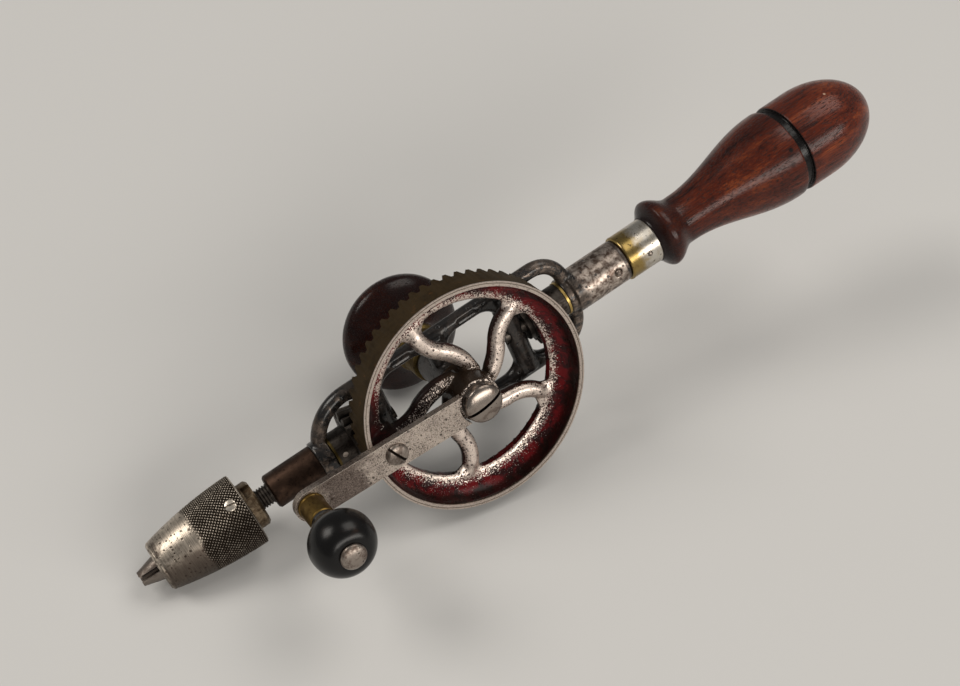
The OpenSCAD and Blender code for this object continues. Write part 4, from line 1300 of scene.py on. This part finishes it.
class HANDDRILL_OT_knurl_chuck(Operator):
    """Turns and knurls the chuck's shell, and finishes its body, jaws and screw"""

    bl_idname = "hand_drill.knurl_chuck"
    bl_label = "Knurl the chuck"

    def execute(self, context):
        edge = context.scene.drill_castings.edge
        self.knurl_shell(context.scene.drill_chuck)
        body = eased_copy("chuck_body", "chuck_body_turned", edge)
        dress(body, "collar_nickel", "collar_nickel", "spindle", "chuck_body")
        for node in ("jaw_1", "jaw_2", "jaw_3"):
            jaw = eased_copy(node, f"{node}_ground", 0.5 * edge)
            dress(jaw, "dull_steel", "dull_steel", node, node)
        self.turn_screw(context.scene.drill_turning)
        return {"FINISHED"}

    def turn_screw(self, turning):
        """Small slotted screw that stands across the shell's axis."""
        low, high = reach("chuck_screw")
        upright = across_shell()
        top = max(spot.dot(upright.col[2]) for spot in spots_of("chuck_screw"))
        radius = (high.x - low.x) / 2
        foot = top - 1.6 * MM
        outline = [(foot, 0), (foot, radius)] + dome((top - 0.4 * MM, radius), (top, 0.0), 12)
        screw = turn("chuck_screw_turned", outline, "Z", turning.steps // 2)
        cut_slot(screw, top, SHELL_SLOT, turning.shell_slot, 4 * radius)
        ease_edges(screw, 0.1 * MM)
        screw.data.transform(Matrix.Translation(((low.x + high.x) / 2, 0, 0)) @ upright.to_4x4())
        dress(screw, "chuck_screw_steel", "screw_steel", "chuck_shell", "chuck_screw")

    def knurl_shell(self, sizes):
        """Shell with a plain turned nose and pointed knurls behind it."""
        low, high = reach("chuck_shell")
        length = high.x - low.x
        back = (high.y - low.y) / 2
        mouth = sizes.mouth / 2
        nose = mouth + sizes.wall
        pitch = math.tau * back / sizes.knurls
        row = pitch / sizes.knurl_facets
        start = sizes.knurl_start
        rows = int((length - 0.7 * MM - start) / row)

        def skin(along):
            """Radius of the plain shell, a parabola from the nose to the back."""
            return back - (back - nose) * (1 - along / length) ** 2

        lip = 0.8 * MM
        line = [(1.5 * MM, 0.0), (1.65 * MM, 0.12 * MM), (1.85 * MM, 0.12 * MM), (2.0 * MM, 0.0)]
        nose_rows = 16
        plain = [2.6 * MM + (start - 3.0 * MM) * i / nose_rows for i in range(nose_rows + 1)]
        thread = sizes.thread / 2
        floor = length - sizes.thread_length
        step = 1.0 * MM
        cone = mouth + sizes.cone
        outline = [(0.0, mouth), (0.0, nose - lip), (lip, skin(lip))]
        outline += [(along, skin(along) - depth) for along, depth in line]
        outline += [(along, skin(along)) for along in plain]
        outline += [(start + i * row, skin(start + i * row)) for i in range(rows + 1)]
        outline += [(length - 0.35 * MM, skin(length) - 0.05 * MM), (length, back - lip), (length, thread)]
        outline += [(floor, thread), (floor, thread - step), (floor - step, thread - step)]
        outline += [(floor - step, cone), (floor - 3 * step, cone)]
        outline = [(low.x + along, radius) for along, radius in outline]
        shell = turn("chuck_shell_knurled", outline, "X", sizes.knurls * sizes.knurl_facets, closed=True)

        screw = middle_of("chuck_screw")
        first, last = start - 0.5 * row, start + (rows + 0.5) * row
        grooves = shell.data.attributes.new("groove", "FLOAT", "POINT")
        for corner in shell.data.vertices:
            spot = corner.co
            radius = math.hypot(spot.y, spot.z)
            along = spot.x - low.x
            if not first < along < last or radius <= skin(along) - 0.1 * MM:
                continue
            turned = math.atan2(spot.z, spot.y)
            around = turned / math.tau * sizes.knurls
            down = (along - start) / pitch
            ways = [abs(2 * ((around + way * down) % 1.0) - 1) for way in (1, -1)]
            peak = min(1.0, 1.3 * (1 - max(ways)))
            worn = MM * (0.7 + 0.5 * math.sin(3 * turned) + 0.3 * math.sin(7 * turned + 1.0))
            fade = min(1.0, max(0.0, (along - start - worn) / (1.6 * pitch)))
            kept = 1.0 if (spot - screw).length > sizes.bare_spot else 0.35
            cut = sizes.knurl_depth * (1 - peak) * fade * kept
            corner.co.y *= (radius - cut) / radius
            corner.co.z *= (radius - cut) / radius
            grooves.data[corner.index].value = cut / sizes.knurl_depth
        dress(shell, "worn_nickel", "worn_nickel", "chuck_shell", "chuck_shell", angle=math.radians(60))


class HANDDRILL_OT_finish_works(Operator):
    """Finishes the gears, spindle, bearing, washers, studs and pins"""

    bl_idname = "hand_drill.finish_works"
    bl_label = "Finish the works"

    NODES = {
        "dark_steel": ("spindle",),
        # The works' steel is nearly black as painted shade.
        "steel": ("pinion", "idler_pinion", "axle_stud", "idler_shaft", "side_stud", "handle_tang"),
        "pin_steel": ("pinion_pin", "socket_pin", "ferrule_pin"),
        "washer_steel": ("hub_washer",),
        "washer_brass": ("idler_washer",),
        "dark_brass": ("thrust_washer",),
    }

    def execute(self, context):
        for finish, nodes in self.NODES.items():
            for node in nodes:
                give_finish(frame["nodes"][node], finish)
        self.turn_bearing(context.scene.drill_turning)
        return {"FINISHED"}

    def turn_bearing(self, turning):
        """Bronze sleeve with a chamfered front, let into the frame."""
        low, high = reach("front_bearing")
        radius = high.y
        inside = radius - 1.6 * MM
        bore = reach("spindle")[1].y + RUNNING_FIT
        shoulder = reach("frame")[0].x
        chamfer = 0.8 * MM
        outline = [(low.x, bore), (low.x, radius - chamfer), (low.x + chamfer, radius), (shoulder, radius),
                   (shoulder, inside), (high.x, inside), (high.x, bore)]
        sleeve = turn("front_bearing_turned", outline, "X", turning.steps, closed=True)
        ease_edges(sleeve, 0.25 * MM)
        dress(sleeve, "bronze", "bronze", "frame", "front_bearing")


# Stage

class HANDDRILL_OT_set_stage(Operator):
    """Sets out the floor, the lamps and the camera"""

    bl_idname = "hand_drill.set_stage"
    bl_label = "Set the stage"

    def execute(self, context):
        stage = context.scene.drill_stage
        self.lay_floor(context.scene.drill_colours)
        self.light(context.scene, stage)
        self.aim_camera(context.scene, stage)
        return {"FINISHED"}

    def lay_floor(self, colours):
        """Wide pale floor under the drill."""
        bpy.ops.object.select_all(action="DESELECT")
        bpy.ops.mesh.primitive_plane_add(size=12.0)
        floor = bpy.context.object
        floor.name = "floor"
        material = bpy.data.materials.new("floor")
        material.use_nodes = True
        shading = Shading(material.node_tree)
        place = shading.node("ShaderNodeTexCoord").outputs["Object"]
        cloud = shading.noise(place, 6.0, 3.0, 0.5)
        shade = shading.mix(cloud, scaled(colours.floor, 0.985), colours.floor)
        shader = material.node_tree.nodes["Principled BSDF"]
        shading.feed(shader.inputs["Base Color"], shade)
        shader.inputs["Roughness"].default_value = 0.85
        shader.inputs["Specular IOR Level"].default_value = 0.2
        floor.data.materials.append(material)

    def light(self, scene, stage):
        """Even light from all round, wide lamps behind on the left and overhead, and a long one in front."""
        world = bpy.data.worlds.new("studio")
        world.use_nodes = True
        scene.world = world
        background = world.node_tree.nodes["Background"]
        background.inputs["Color"].default_value = SKY_TINT
        background.inputs["Strength"].default_value = stage.sky
        lamps = [
            ("key", stage.key, (1.8, 1.8), Vector((-2.31, 1.71, 3.06))),
            ("front", stage.front, (4.4, 1.1), Vector((0.36, -3.25, 1.5))),
            ("fill", stage.fill, (2.4, 2.4), Vector((1.9, 0.0, 3.75))),
        ]
        for name, power, (width, depth), spot in lamps:
            lamp = bpy.data.lights.new(name, "AREA")
            lamp.shape = "RECTANGLE"
            lamp.size = width
            lamp.size_y = depth
            lamp.energy = power
            lamp.color = LAMP_TINT
            thing = bpy.data.objects.new(name, lamp)
            scene.collection.objects.link(thing)
            thing.location = spot
            thing.rotation_euler = (Vector(stage.aim) - spot).to_track_quat("-Z", "Y").to_euler()

    def aim_camera(self, scene, stage):
        """Camera at the viewing angle of the drill lying on a table."""
        camera = bpy.data.cameras.new("camera")
        camera.lens = stage.lens
        camera.sensor_width = 36.0
        camera.sensor_fit = "HORIZONTAL"
        camera.clip_start = 0.01
        camera.clip_end = 50.0
        thing = bpy.data.objects.new("camera", camera)
        scene.collection.objects.link(thing)
        away = Vector((math.sin(stage.azimuth), -math.cos(stage.azimuth), 0)) * math.cos(stage.elevation)
        back = away + Vector((0, 0, math.sin(stage.elevation)))
        thing.location = Vector(stage.aim) + back * stage.distance
        thing.rotation_mode = "QUATERNION"
        thing.rotation_quaternion = (-back).to_track_quat("-Z", "Y") @ Quaternion((0, 0, 1), stage.roll)
        scene.camera = thing


# Add-on

OPERATORS = (
    HANDDRILL_OT_set_stage,
    HANDDRILL_OT_cast_frame,
    HANDDRILL_OT_cast_wheel,
    HANDDRILL_OT_forge_crank,
    HANDDRILL_OT_turn_handles,
    HANDDRILL_OT_knurl_chuck,
    HANDDRILL_OT_finish_works,
)


class HANDDRILL_PT_workshop(Panel):
    """Lists the drill's sizes and the steps that make it"""

    bl_idname = "HANDDRILL_PT_workshop"
    bl_label = "Hand drill"
    bl_space_type = "VIEW_3D"
    bl_region_type = "UI"
    bl_category = "Hand drill"

    def draw(self, context):
        for operator in OPERATORS:
            self.layout.operator(operator.bl_idname)
        for name, group in GROUPS.items():
            box = self.layout.box()
            box.label(text=group.__doc__)
            for setting in group.__annotations__:
                box.prop(getattr(context.scene, name), setting)


def register():
    """Registers the settings, the operators and the panel."""
    for name, group in GROUPS.items():
        bpy.utils.register_class(group)
        setattr(bpy.types.Scene, name, PointerProperty(type=group))
    for operator in OPERATORS:
        bpy.utils.register_class(operator)
    bpy.utils.register_class(HANDDRILL_PT_workshop)


def unregister():
    """Takes the panel, the operators and the settings away again."""
    bpy.utils.unregister_class(HANDDRILL_PT_workshop)
    for operator in reversed(OPERATORS):
        bpy.utils.unregister_class(operator)
    for name, group in reversed(GROUPS.items()):
        delattr(bpy.types.Scene, name)
        bpy.utils.unregister_class(group)


def main():
    """Makes the whole drill."""
    register()
    scene = bpy.context.scene
    scene.view_settings.view_transform = "Standard"
    make_finishes(scene)
    bpy.ops.hand_drill.set_stage()
    bpy.ops.hand_drill.cast_frame()
    bpy.ops.hand_drill.cast_wheel()
    bpy.ops.hand_drill.forge_crank()
    bpy.ops.hand_drill.turn_handles()
    bpy.ops.hand_drill.knurl_chuck()
    bpy.ops.hand_drill.finish_works()


if __name__ == "__main__":
    main()
